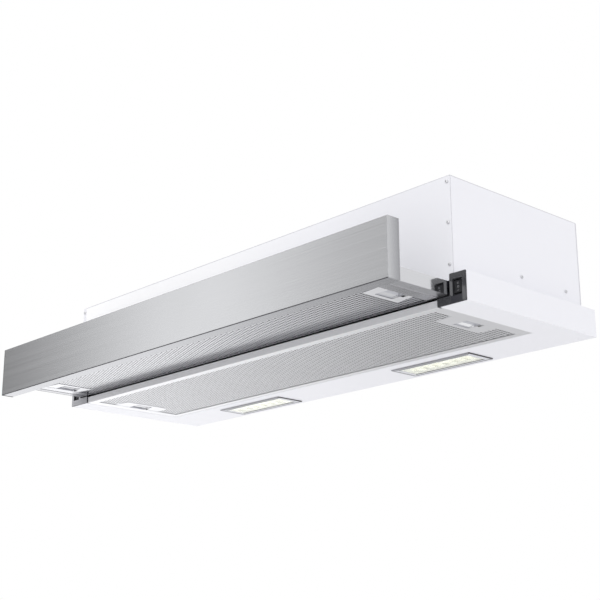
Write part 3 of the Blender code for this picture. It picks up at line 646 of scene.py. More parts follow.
# ------------------------------------------------------------------ camera
ROLL = math.radians(-0.126)
AZ, EL = math.radians(47.442), math.radians(-16.373)
cam_data = bpy.data.cameras.new("camera")
cam_data.sensor_width = 36.0
cam_data.lens = 36.0 * 1240.78 / 600.0
cam_data.clip_start = 0.02
cam_data.clip_end = 60.0
cam = bpy.data.objects.new("camera", cam_data)
scene.collection.objects.link(cam)
back = Vector((math.sin(AZ) * math.cos(EL), -math.cos(AZ) * math.cos(EL), math.sin(EL)))
right = (-back).cross(Vector((0, 0, 1))).normalized()
up = right.cross(-back)
r2 = right * math.cos(ROLL) + up * math.sin(ROLL)
u2 = -right * math.sin(ROLL) + up * math.cos(ROLL)
m = cam.matrix_world.copy()
for i in range(3):
    m[i][0], m[i][1], m[i][2] = r2[i], u2[i], back[i]
m[0][3], m[1][3], m[2][3] = 1.39752, -1.42960, -0.47415
cam.matrix_world = m
scene.camera = cam

# ------------------------------------------------------------------ light
world = bpy.data.worlds.new("studio")
scene.world = world
world.use_nodes = True
wn = world.node_tree
for n in list(wn.nodes):
    wn.nodes.remove(n)
w_out = wn.nodes.new("ShaderNodeOutputWorld")
w_bg = wn.nodes.new("ShaderNodeBackground")
w_cam = wn.nodes.new("ShaderNodeBackground")
w_cam.inputs["Color"].default_value = (1, 1, 1, 1)
w_mix = wn.nodes.new("ShaderNodeMixShader")
w_path = wn.nodes.new("ShaderNodeLightPath")
w_tc = wn.nodes.new("ShaderNodeTexCoord")
w_sep = wn.nodes.new("ShaderNodeSeparateXYZ")
w_at = wn.nodes.new("ShaderNodeMath")
w_at.operation = "ARCTAN2"
w_map = wn.nodes.new("ShaderNodeMapRange")
w_map.inputs["From Min"].default_value = -math.pi
w_map.inputs["From Max"].default_value = math.pi
w_ramp = wn.nodes.new("ShaderNodeValToRGB")
w_ramp.color_ramp.interpolation = "LINEAR"


def az_pos(deg):
    """Ramp position of a compass direction, degrees from +X towards +Y."""
    return (deg + 180.0) / 360.0


# Soft panels round the studio: the front-left is darker, with one bright panel in it.
STOPS = [(-180, 1.05), (-165, 0.55), (-155, 0.22), (-151, 0.24), (-149.2, 0.44), (-146.9, 0.86), (-144.6, 1.36), (-142.2, 1.44),
         (-139.9, 1.25), (-137.4, 0.90), (-135, 0.60), (-132, 0.55), (-124, 0.70), (-108, 1.05), (-60, 1.17), (0, 1.08), (28, 0.88),
         (48, 0.80), (68, 0.98), (95, 1.08), (110, 0.90), (120, 0.72), (127, 0.56), (132, 0.44), (136, 0.60), (140, 0.95), (144, 1.35),
         (152, 1.45), (166, 1.15), (180, 1.05)]
els = w_ramp.color_ramp.elements
while len(els) < len(STOPS):
    els.new(0.5)
for e, (deg, v) in zip(els, STOPS):
    e.position = az_pos(deg)
    e.color = (v, v, v * 1.01, 1.0)
wn.links.new(w_tc.outputs["Generated"], w_sep.inputs[0])
wn.links.new(w_sep.outputs["Y"], w_at.inputs[0])
wn.links.new(w_sep.outputs["X"], w_at.inputs[1])
wn.links.new(w_at.outputs[0], w_map.inputs["Value"])
wn.links.new(w_map.outputs["Result"], w_ramp.inputs["Fac"])
wn.links.new(w_ramp.outputs["Color"], w_bg.inputs["Color"])
w_bg.inputs["Strength"].default_value = 1.0
wn.links.new(w_path.outputs["Is Camera Ray"], w_mix.inputs[0])
wn.links.new(w_bg.outputs[0], w_mix.inputs[1])
wn.links.new(w_cam.outputs[0], w_mix.inputs[2])
wn.links.new(w_mix.outputs[0], w_out.inputs["Surface"])


def area(name, loc, target, size, power, size_y=None):
    d = bpy.data.lights.new(name, "AREA")
    d.energy = power
    d.shape = "RECTANGLE"
    d.size = size
    d.size_y = size_y or size
    o = bpy.data.objects.new(name, d)
    o.location = loc
    o.rotation_euler = (Vector(target) - Vector(loc)).to_track_quat("-Z", "Y").to_euler()
    scene.collection.objects.link(o)
    return o


area("key", (-0.6, -3.4, 2.0), (0, -0.2, 0.05), 2.4, 27.0)
area("low_left", (-4.2, 2.6, -1.35), (0, -0.2, 0.0), 2.6, 4.0, 1.3)
area("fill", (2.4, -2.9, 0.5), (0.35, -0.25, 0.05), 1.6, 4.0)

# plain pale floor
fbm = bmesh.new()
bmesh.ops.create_grid(fbm, x_segments=24, y_segments=24, size=4.0)
fme = bpy.data.meshes.new("floor")
for v in fbm.verts:
    v.co.z = -2.6
fbm.to_mesh(fme)
fbm.free()
fl = Mat("floor_pale", 0.7, 0.0)
fl.color(fl.mix(fl.noise(0.8, 2.0), (0.86, 0.86, 0.86), (0.88, 0.88, 0.88)))
fl.b.inputs["Emission Color"].default_value = (1, 1, 1, 1)
fl.b.inputs["Emission Strength"].default_value = 0.09
fme.materials.append(fl.m)
floor = bpy.data.objects.new("floor", fme)
scene.collection.objects.link(floor)
scene.view_settings.view_transform = "Standard"
scene.view_settings.look = "None"

# ------------------------------------------------------------------ dimensions
HX, DEPTH, CAN_H, TOP, BX, SH = 449.0, 276.0, 40.0, 174.0, 427.5, 0.8
LAMPS = (-219.0, 198.0)
LAMP_Y = 236.5
OPEN_X = 404.2
PROUD = 2.1
FRONT_Z = (53.0, 109.5, 165.7)
SIDE_YZ = ((141.0, 64.4), (240.0, 64.0))
COLLAR_Y = 176.0

# ------------------------------------------------------------------ canopy shell
adds = [(-HX, HX, 0, DEPTH, 0, SH), (-HX, -HX + SH, 0, DEPTH, 0, CAN_H), (HX - SH, HX, 0, DEPTH, 0, CAN_H),
        (-HX, HX, DEPTH - SH, DEPTH, 0, 30.0),
        (-HX, -BX - 0.4, 2.4, DEPTH, CAN_H - SH, CAN_H), (BX + 0.4, HX, 2.4, DEPTH, CAN_H - SH, CAN_H),
        (-HX, -BX - 0.4, DEPTH - SH, DEPTH, 0, CAN_H), (BX + 0.4, HX, DEPTH - SH, DEPTH, 0, CAN_H),
        (-OPEN_X, OPEN_X, 190.4, 190.4 + SH, 0, 8.0)]
cuts = [(-OPEN_X, OPEN_X, -5, 190.4, -5, 5)]
for cx in LAMPS:
    cuts.append((cx - 73, cx + 73, LAMP_Y - 23, LAMP_Y + 23, -5, 5))
bm = cells(adds, cuts)


def outer_fold(e):
    c, d = edge_mid(e), edge_dir(e)
    if near(c.z, 0) and abs(d.y) > 0.9 and near(abs(c.x), HX):
        return True
    if near(c.z, 0) and abs(d.x) > 0.9 and near(c.y, DEPTH):
        return True
    if near(c.z, CAN_H) and abs(d.y) > 0.9 and near(abs(c.x), HX):
        return True
    return near(abs(c.x), HX) and near(c.y, DEPTH) and abs(d.z) > 0.9


soften(bm, 0.75, 3, outer_fold)
soften(bm, 0.22, 2)
slots = join([disc((s * 427.0, 264.0), "z", 1.3, -2, 3, 20) for s in (-1, 1)])
bm = boolean(bm, [("DIFFERENCE", slots)])
emit("canopy", bm, WHITE, "housing", ["canopy_shell"])

# ------------------------------------------------------------------ box panels
front = cells([(-419.2, BX, 0, SH, 40.6, TOP), (-398, 398, 0, SH, 34, 60), (-398, 398, 0, 12, 34, 34 + SH),
               (-411.9, 411.9, 0, SH, 33.2, 41), (411.9, 421.8, 0, SH, 32.1, 41), (-421.8, -411.9, 0, SH, 32.1, 40.2), (-419.2, -411.9, 0, SH, 40, 41),
               (-418.9, -405, 0, 2.7, 44, 168), (-425.8, -405, 1.5, 2.7, 44, 170)])
soften(front, 0.18, 2)
holes = join([disc((s * 422.6, z), "y", 2.1, -3, 6, 20) for s in (-1, 1) for z in FRONT_Z])
front = boolean(front, [("DIFFERENCE", holes)])
# painted shade: the band above TOP - 1.5 on the front sheet takes the darker edge paint
bmesh.ops.bisect_plane(front, geom=front.verts[:] + front.edges[:] + front.faces[:], dist=1e-5, plane_co=(0, 0, TOP - 1.5), plane_no=(0, 0, 1))
emit("front_sheet", front, [WHITE_FRONT_PAINTED_SHADE, WHITE_EDGE_SHADE], "housing", ["front_panel"], pick=lambda n, c: 1 if c.z > TOP - 1.5 else 0)

rightp = cells([(BX - SH, BX, 1.5, 274.5, 40.6, TOP), (BX - SH, BX, 38, 274.5, 1.6, 80),
                (405, BX, 1.5, 2.7, 44, 172.4), (405, BX, 273.3, 274.5, 44, 172.4), (405, BX, 1.5, 274.5, 172.4 - SH, 172.4)])
soften(rightp, 0.18, 2)
holes = join([disc((422.6, z), "y", 2.1, -3, 6, 20) for z in FRONT_Z] + [disc((y, z), "x", 2.1, 420, 432, 20) for y, z in SIDE_YZ])
rightp = boolean(rightp, [("DIFFERENCE", holes)])
# painted shade: bands along the right side sheet's top and rear edges take the darker edge paint
for co, no in (((0, 0, TOP - 1.5), (0, 0, 1)), ((0, 272.7, 0), (0, 1, 0))):
    bmesh.ops.bisect_plane(rightp, geom=rightp.verts[:] + rightp.edges[:] + rightp.faces[:], dist=1e-5, plane_co=co, plane_no=no)
emit("side_sheet_right", rightp, [WHITE, WHITE_EDGE_SHADE], "housing", ["side_panel_right"],
     pick=lambda n, c: 1 if n.x > 0.3 and c.z > 40 and (c.z > TOP - 1.5 or c.y > 272.7) else 0)

leftp = cells([(-BX, -BX + SH, 0, 274.5, 40.6, TOP), (-BX, -BX + SH, 38, 274.5, 1.6, 80),
               (-BX, -419.5, 0, SH, 40.6, TOP), (-BX, -405, 273.3, 274.5, 44, 172.4), (-BX, -405, 4.0, 274.5, 172.4 - SH, 172.4)])
soften(leftp, 0.18, 2)
holes = join([disc((-422.6, z), "y", 2.1, -3, 6, 20) for z in FRONT_Z] + [disc((y, z), "x", 2.1, -432, -420, 20) for y, z in SIDE_YZ])
emit("side_sheet_left", boolean(leftp, [("DIFFERENCE", holes)]), WHITE, "housing", ["side_panel_left"])

bk = cells([(-BX, BX, DEPTH - SH, DEPTH, 30.3, TOP)])
soften(bk, 0.18, 2)
emit("back_sheet", bk, WHITE, "housing", ["back_panel"])


# top panel with pressed stiffening beads
def bead(p, q, w, z0, h, n=10):
    """Long rounded ridge from p to q on the plane z0, sunk a little into it."""
    p, q = Vector((p[0], p[1], 0)), Vector((q[0], q[1], 0))
    d = (q - p).normalized()
    s = Vector((-d.y, d.x, 0))
    rings = []
    steps = [0.0, 0.35, 0.7, 1.0]
    L = (q - p).length
    for t in [k * w * 0.5 for k in (0.02, 0.12, 0.3, 0.6, 1.0)]:
        rings.append((t, math.sqrt(max(0.0, 1 - (1 - t / (w * 0.5)) ** 2))))
    prof = rings + [(L - t, k) for t, k in reversed(rings)]
    out = []
    for t, k in prof:
        ring = []
        for i in range(n + 1):
            a = math.pi * i / n
            ring.append(p + d * t + s * (w * 0.5 * k * math.cos(a)) + Vector((0, 0, z0 - 0.2 + (h + 0.2) * k * math.sin(a))))
        ring.append(p + d * t + s * (-w * 0.5 * k) + Vector((0, 0, z0 - 0.5)))
        ring.append(p + d * t + s * (w * 0.5 * k) + Vector((0, 0, z0 - 0.5)))
        out.append(ring)
    return loft(out)


top = cells([(-426, 426, 1.5, 274.5, 172.7, 173.5)])
soften(top, 0.18, 2)
steps = [("DIFFERENCE", join([disc((0, COLLAR_Y), "z", 75.0, 165, 180, 72), disc((-300.0, 225.0), "z", 8.4, 165, 180, 24)]))]
for p, q in (((-390, 40), (-120, 40)), ((390, 40), (120, 40)), ((-390, 138), (-130, 138)), ((390, 138), (130, 138)),
             ((390, 236), (120, 236)), ((-390, 252), (-340, 252)), ((-240, 252), (-120, 252))):
    steps.append(("UNION", bead(p, q, 7.0, 173.5, 1.6)))
emit("top_sheet", boolean(top, steps), GALV, "housing", ["top_panel"], sharp=40)


# ------------------------------------------------------------------ screws
def screw_mesh():
    """Pan head with a cross recess, head up +Z from z 0, millimetres."""
    n = 32
    prof = [(0.0, 2.0), (0.9, 1.97), (1.65, 1.82), (2.15, 1.5), (2.27, 1.05), (2.35, 0.55), (2.35, 0.3), (1.75, 0.3), (1.75, -5.4), (1.2, -6.0), (0.0, -6.0)]
    bm = bmesh.new()
    rings = []
    for r, z in prof:
        rings.append([bm.verts.new((0, 0, z))] if r == 0 else [bm.verts.new((r * math.cos(2 * math.pi * i / n), r * math.sin(2 * math.pi * i / n), z)) for i in range(n)])
    for p, q in zip(rings, rings[1:]):
        for i in range(n):
            j = (i + 1) % n
            if len(p) == 1:
                bm.faces.new((p[0], q[i], q[j]))
            elif len(q) == 1:
                bm.faces.new((p[i], p[j], q[0]))
            else:
                bm.faces.new((p[i], p[j], q[j], q[i]))
    bmesh.ops.recalc_face_normals(bm, faces=bm.faces)

    def bar(a):
        pts = []
        for hw, hl, z in ((0.24, 0.8, 0.9), (0.38, 1.6, 2.3)):
            pts.append([(hl, hw, z), (-hl, hw, z), (-hl, -hw, z), (hl, -hw, z)])
        b = loft(pts)
        bmesh.ops.rotate(b, verts=b.verts, cent=(0, 0, 0), matrix=Matrix.Rotation(a, 3, "Z"))
        return b

    return boolean(bm, [("DIFFERENCE", bar(0.0)), ("DIFFERENCE", bar(math.pi / 2))])


screw_src = screw_mesh()
screw_me = bpy.data.meshes.new("screw_tmp")
screw_src.to_mesh(screw_me)
screw_src.free()


def place_screw(name, centre, axis, turn):
    bm = bmesh.new()
    bm.from_mesh(screw_me)
    rot = Vector((0, 0, 1)).rotation_difference(Vector(axis)).to_matrix().to_4x4()
    bmesh.ops.transform(bm, matrix=Matrix.Translation(centre) @ rot @ Matrix.Rotation(turn, 4, "Z"), verts=bm.verts)
    emit(name + "_cross", bm, ZINC, "housing", [name], sharp=35)


for side, s in SIDES:
    for i, z in enumerate(FRONT_Z):
        place_screw("front_screw_%s_%d" % (side, i + 1), (s * 422.6, 0.0, z), (0, -1, 0), 0.4 + i * 0.9 + (s > 0) * 0.35)
    for i, (y, z) in enumerate(SIDE_YZ):
        place_screw("side_screw_%s_%d" % (side, i + 1), (s * BX, y, z), (s, 0, 0), 0.2 + i * 1.1 + (s > 0) * 0.5)

# ------------------------------------------------------------------ corner brackets, switches
for side, s in SIDES:
    bx = [(422.4, 448.4, -PROUD, -0.3, 0.0, 39.5), (401.1, 423.0, -PROUD, -0.3, 0.0, 10.9),
          (422.4, 447.4, -1.0, 2.0, 1.5, 38.4), (401.1, 423.0, -1.0, 4.0, 1.5, 10.9),
          (422.4, 423.9, 0, 34.0, 1.5, 38.4), (445.9, 447.4, 0, 34.0, 1.5, 38.4),
          (422.4, 447.4, 0, 34.0, 1.5, 3.0), (422.4, 447.4, 0, 34.0, 36.9, 38.4)]
    cut = [(427.2, 442.7, -5, 5, 9.6, 31.2)]
    bm = cells(mirror_boxes(bx, s), mirror_boxes(cut, s))
    soften(bm, 0.35, 3, lambda e: edge_mid(e).y < -PROUD + 0.05)
    soften(bm, 0.15, 2)
    # the left bracket's front face takes the pale grey, the right one's stays near-black
    emit("bracket_" + side, bm, [BRACKET_PALE if s < 0 else BRACKET, DARK2], "housing", ["corner_bracket_" + side],
         pick=(lambda n, c: 0 if c.y < 0.5 and n.y < -0.5 else 1) if s < 0 else (lambda n, c: 1 if (c.z < 9.7 and c.y < 0.5) or abs(n.x) > 0.9 else 0))

    # switch body: bezel lip round the well
    cx, cz = s * 434.95, 20.4
    outer, well = (7.35, 10.4), (6.15, 9.2)

    def zring(hw, hh, r, y):
        return [(x, y, z) for x, z in rrect(cx, cz, hw, hh, r, 4)]

    bm = loft([zring(7.35, 10.4, 0.5, 15.9), zring(7.35, 10.4, 0.5, -1.5), zring(7.05, 10.1, 0.5, -1.88), zring(6.5, 9.55, 0.4, -1.88),
               zring(6.15, 9.2, 0.35, -1.45), zring(6.15, 9.2, 0.35, 7.4)])
    bmesh.ops.recalc_face_normals(bm, faces=bm.faces)
    emit("switch_case_" + side, bm, BLACK, "housing", ["switch_body_" + side])

    # rocker: concave face, rounded ends
    tilt = math.radians(10.0) if s < 0 else 0.0
    ay, az = 5.0 - PROUD, 20.4
    prof = []
    for i in range(17):
        t = -1 + 2 * i / 16.0
        prof.append((-3.72 - 1.25 * abs(t) ** 1.7, 8.0 * t))
    prof += [(-4.6, 8.28), (-2.0, 8.3), (0.5, 6.5), (2.2, 2.5), (2.2, -2.5), (0.5, -6.5), (-2.0, -8.3), (-4.6, -8.28)]
    ca, sa = math.cos(tilt), math.sin(tilt)

    def rot(y, z):
        return (ay + y * ca - z * sa, az + y * sa + z * ca)

    lo, hi = 429.1, 440.8
    if s < 0:
        lo, hi = -hi, -lo
    bm = prism([rot(y, z) for y, z in prof], "x", lo, hi)
    soften(bm, 0.3, 2, lambda e: abs(edge_dir(e).x) < 0.1, 40)
    rk = emit("rocker_cap_" + side, bm, BLACK, "switch_rocker_" + side, ["rocker_" + side])

    # printed marks: generic two, off, one
    def mark_bar(zc, half, thick=0.30):
        y = -3.72 - 1.25 * (abs(zc) / 8.0) ** 1.7
        pts = []
        for dz in (-thick, thick):
            zz = zc + dz
            yy = -3.72 - 1.25 * (abs(zz) / 8.0) ** 1.7
            pts.append((zz, yy))
        bmx = bmesh.new()
        vs = []
        for x in (-half, half):
            for (zz, yy) in pts:
                for d in (-0.06, 0.25):
                    ry, rz = rot(yy + d, zz)
                    vs.append(bmx.verts.new((cx + s * 0.6 + x, ry, rz)))
        idx = [(0, 1, 3, 2), (4, 6, 7, 5), (0, 2, 6, 4), (1, 5, 7, 3), (0, 4, 5, 1), (2, 3, 7, 6)]
        for f in idx:
            bmx.faces.new([vs[i] for i in f])
        bmesh.ops.recalc_face_normals(bmx, faces=bmx.faces)
        return bmx

    def mark_ring(zc, r, w=0.28, n=24):
        rings = []
        for i in range(n):
            a = 2 * math.pi * i / n
            ring = []
            for rad, d in ((r - w, -0.06), (r + w, -0.06), (r + w, 0.25), (r - w, 0.25)):
                zz = zc + rad * math.sin(a)
                yy = -3.72 - 1.25 * (abs(zz) / 8.0) ** 1.7
                ry, rz = rot(yy + d, zz)
                ring.append((cx + s * 0.6 + rad * math.cos(a), ry, rz))
            rings.append(ring)
        return loft(rings, loop=True)

    marks = [mark_ring(0.0, 1.25)] if s > 0 else [mark_ring(-4.6, 1.25)]
    if s > 0:
        marks += [mark_bar(5.5, 1.3), mark_bar(4.1, 1.3), mark_bar(-4.8, 1.3)]
    else:
        marks += [mark_bar(4.8, 1.3)]
    emit("rocker_marks_" + side, join(marks), MARK, "switch_rocker_" + side, (), sharp=40)

# ------------------------------------------------------------------ tray: fascia, arms, bars, cover
FX, FY0, FY1, FZ0, FZ1 = 447.5, -140.4, -120.5, 0.2, 78.7
bm = cells([(-FX, FX, FY0, FY1, FZ0, FZ1)], [(-FX + SH, FX - SH, FY0 + SH, FY1 + 5, FZ0 + SH, FZ1 - SH)])
soften(bm, 1.1, 4, lambda e: (near(edge_mid(e).y, FY0) or (edge_mid(e).y < FY1 - 1 and abs(edge_dir(e).y) > 0.9 and near(abs(edge_mid(e).x), FX))))
soften(bm, 0.22, 2)
bmesh.ops.bisect_plane(bm, geom=bm.verts[:] + bm.edges[:] + bm.faces[:], dist=1e-5, plane_co=(0, 0, FZ0 + 1.3), plane_no=(0, 0, 1))
bmesh.ops.bisect_plane(bm, geom=bm.verts[:] + bm.edges[:] + bm.faces[:], dist=1e-5, plane_co=(-FX + 5.0, 0, 0), plane_no=(1, 0, 0))


# picks painted shade and reflection: the left end's underside, the bottom hem, the downward faces and the rounded
# corners take darker steel copies, and the flat ends take the steel with painted reflection falloff
def fascia_painted_shade(n, c):
    # painted shade: the left end's underside takes the dark edge shade
    if c.x < -FX + 4.9 and c.z < FZ0 + 1.0 and n.z < -0.25 and n.y > -0.2:
        return 5
    # painted shade: the bottom front hem and the left end's lower band take the near-black steel
    if c.z < FZ0 + 1.3 and ((c.y < FY0 + 1.2 and c.x < FX - 1.5) or c.x < -FX + 4.9):
        return 2
    # painted shade: downward faces take the darker return steel
    if n.z < -0.9:
        return 1
    # painted shade on the rounded corners, painted reflection falloff on the flat ends
    if abs(n.x) > 0.15 and abs(c.x) > FX - 2:
        return 3 if abs(n.x) > 0.9 else 4
    return 0


emit("fascia_pan", bm, [STEEL, STEEL_RETURN_SHADE, STEEL_HEM_SHADE, STEEL_END_PAINTED_REFLECTION, STEEL_CORNER_SHADE, PAINTED_EDGE_SHADE], "tray", ["fascia"], uv=True, sharp=40, pick=fascia_painted_shade)

for side, s in SIDES:
    arm = [(419.2, 420.0, -138.8, 100, 12, 31.5), (404.2, 420, -138.8, 100, 12, 12.8), (408, 420, -138.8, 100, 30.7, 31.5),
           (404.2, 420, -138.8, -138.0, 12, 31.5)]
    bm = cells(mirror_boxes(arm, s))
    soften(bm, 0.7, 3, lambda e: near(abs(edge_mid(e).x), 420.0) and abs(edge_dir(e).y) > 0.9)
    soften(bm, 0.2, 2)
    # painted shade: on the left arm, thin bands along the outer and inner bottom edges take the dark edge shade
    for x in (405.9, 417.9) if s < 0 else ():
        bmesh.ops.bisect_plane(bm, geom=bm.verts[:] + bm.edges[:] + bm.faces[:], dist=1e-5, plane_co=(s * x, 0, 0), plane_no=(1, 0, 0))
    emit("arm_" + side, bm, [POLISH, RUNNER, PAINTED_EDGE_SHADE], "tray", ["tray_arm_" + side], sharp=40,
         pick=lambda n, c: (2 if c.x < -417.9 or -405.9 < c.x < -404 else 1) if n.z < -0.25 and c.z < 13 else 0)
    glide = [(420.3, 424.4, 60, 98, 12.3, 31.2)]
    groove = [(420.0, 422.0, 66, 92, 17, 26)]
    bm = cells(mirror_boxes(glide, s), mirror_boxes(groove, s))
    soften(bm, 0.5, 2)
    emit("glide_" + side, bm, NYLON, "tray", ["tray_glide_" + side])
    rail = [(424.8, 426.0, 40, 250, 10.4, 33.1), (412.0, 426.0, 40, 250, 10.4, 11.6), (412.0, 426.0, 40, 250, 31.9, 33.1)]
    bm = cells(mirror_boxes(rail, s))
    soften(bm, 0.3, 2)
    emit("rail_" + side, bm, GALV, "housing", ["slide_rail_" + side])

bm = cells([(-411.5, 411.5, -120.2, 90.0, 31.8, 32.6), (-411.5, 411.5, 89.2, 90.0, 31.8, 33.6)])
soften(bm, 0.2, 2)
emit("cover_sheet", bm, GALV, "tray", ["tray_cover"])
bm = cells([(-403.5, 403.5, 3, 9, 12.4, 20)], [(-405, 405, 4.2, 7.8, 13.6, 21)])
soften(bm, 0.3, 2)
emit("mid_bar", bm, GALV, "tray", ["tray_mid_bar"])
bm = cells([(-418.4, 418.4, 86, 98, 13.5, 29.9)], [(-420, 420, 87.2, 99, 14.7, 28.7)])
soften(bm, 0.3, 2)
emit("rear_bar", bm, GALV, "tray", ["tray_rear_bar"])


# ------------------------------------------------------------------ filters
def perforated(name, x0, x1, y0, y1, z, thick, pitch, r, keep, mat, body, sides=12):
    """Punched sheet with real round holes in staggered columns: keep(x, y) says "hole", "solid" or "none" for each cell."""
    nx, ny = max(1, round((x1 - x0) / pitch[0])), max(1, round((y1 - y0) / pitch[1]))
    px, hy = (x1 - x0) / nx, (y1 - y0) / ny / 2.0
    V, F, grid, full = [], [], {}, {}

    def corner(i, j, k):
        if (i, j, k) not in grid:
            grid[(i, j, k)] = len(V)
            V.append((x0 + i * px, y0 + j * hy, z + k * thick))
        return grid[(i, j, k)]

    todo = []
    for i in range(nx):
        odd = i % 2
        spans = [(2 * k + odd, 2 * k + odd + 2) for k in range(ny - odd)] + ([(0, 1), (2 * ny - 1, 2 * ny)] if odd else [])
        for j0, j1 in spans:
            cx, cy = x0 + (i + 0.5) * px, y0 + 0.5 * (j0 + j1) * hy
            w = keep(cx, cy)
            if w == "hole" and j1 - j0 == 1:
                w = "solid"
            if w != "none":
                todo.append((i, j0, j1, cx, cy, w))
                for j in range(j0, j1):
                    full[(i, j)] = True
    for i, j0, j1, cx, cy, w in todo:
        rim = [(i + 1, j) for j in range(j0, j1 + 1)] + [(i, j) for j in range(j1, j0 - 1, -1)]
        lo, hi = [corner(a, b, 0) for a, b in rim], [corner(a, b, 1) for a, b in rim]
        if w == "solid":
            F.append(tuple(lo[::-1]))
            F.append(tuple(hi))
        else:
            rings = []
            for k in (0, 1):
                rings.append([len(V) + q for q in range(sides)])
                for q in range(sides):
                    a = 2 * math.pi * q / sides
                    V.append((cx + r * math.cos(a), cy + r * math.sin(a), z + k * thick))
            s4, h = sides // 4, sides // 2
            # rim order: right bottom, right middle, right top, left top, left middle, left bottom
            for k, ring, c in ((0, rings[0], lo), (1, rings[1], hi)):
                strips = [[c[1], c[2]] + ring[1::-1], [c[2], c[3]] + ring[h - 1:0:-1], [c[3], c[4]] + ring[h:h - 2:-1],
                          [c[4], c[5]] + ring[h + 1:h - 1:-1], [c[5], c[0]] + ring[sides - 1:h:-1], [c[0], c[1]] + [ring[0], ring[-1]]]
                for f in strips:
                    F.append(tuple(f) if k else tuple(f[::-1]))
            for q in range(sides):
                t = (q + 1) % sides
                F.append((rings[0][q], rings[0][t], rings[1][t], rings[1][q]))
        for j in range(j0, j1):
            for di, a in ((1, i + 1), (-1, i)):
                if (i + di, j) not in full:
                    e = [corner(a, j, 0), corner(a, j + 1, 0), corner(a, j + 1, 1), corner(a, j, 1)]
                    F.append(tuple(e if di > 0 else e[::-1]))
        for j, b, sgn in ((j1, j1, 1), (j0 - 1, j0, -1)):
            if (i, j) not in full:
                e = [corner(i, b, 0), corner(i + 1, b, 0), corner(i + 1, b, 1), corner(i, b, 1)]
                F.append(tuple(e[::-1] if sgn > 0 else e))
    co = (np.array(V) + np.array(OFF)) * MM
    me = bpy.data.meshes.new(name)
    me.from_pydata(co.tolist(), [], F)
    me.validate()
    me.materials.append(mat)
    me.shade_smooth()
    me.set_sharp_from_angle(angle=math.radians(50))
    ob = bpy.data.objects.new(name, me)
    scene.collection.objects.link(ob)
    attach(ob, body)
    return ob


def core_slab(name, x0, x1, y0, y1, z0, z1, step, keep, mat, body):
    """Crumpled stack behind the punched sheet: a closed slab whose underside waves."""
    nx, ny = max(1, round((x1 - x0) / step)), max(1, round((y1 - y0) / step))
    px, py = (x1 - x0) / nx, (y1 - y0) / ny
    V, F, grid = [], [], {}

    def wave(x, y):
        return 0.5 + 0.25 * math.sin(x * 1.7 + 0.6 * math.sin(y * 0.9)) + 0.25 * math.sin(y * 1.9 + 0.7 * math.sin(x * 0.7))

    def corner(i, j, k):
        if (i, j, k) not in grid:
            grid[(i, j, k)] = len(V)
            x, y = x0 + i * px, y0 + j * py
            V.append((x, y, z1 if k else z0 + 0.5 * (z1 - z0) * wave(x, y)))
        return grid[(i, j, k)]

    on = [[keep(x0 + (i + 0.5) * px, y0 + (j + 0.5) * py) for j in range(ny)] for i in range(nx)]
    for i in range(nx):
        for j in range(ny):
            if not on[i][j]:
                continue
            c = [[corner(i + a, j + b, k) for a, b in ((1, 1), (0, 1), (0, 0), (1, 0))] for k in (0, 1)]
            F.append((c[0][0], c[0][3], c[0][2], c[0][1]))
            F.append((c[1][0], c[1][1], c[1][2], c[1][3]))
            for (di, dj, a, b) in ((1, 0, 3, 0), (-1, 0, 1, 2), (0, 1, 0, 1), (0, -1, 2, 3)):
                ii, jj = i + di, j + dj
                if not (0 <= ii < nx and 0 <= jj < ny) or not on[ii][jj]:
                    F.append((c[0][a], c[0][b], c[1][b], c[1][a]))
    co = (np.array(V) + np.array(OFF)) * MM
    me = bpy.data.meshes.new(name)
    me.from_pydata(co.tolist(), [], F)
    me.validate()
    me.materials.append(mat)
    ob = bpy.data.objects.new(name, me)
    scene.collection.objects.link(ob)
    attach(ob, body)
    return ob


FX_OUT, FX_IN = 403.7, 385.0


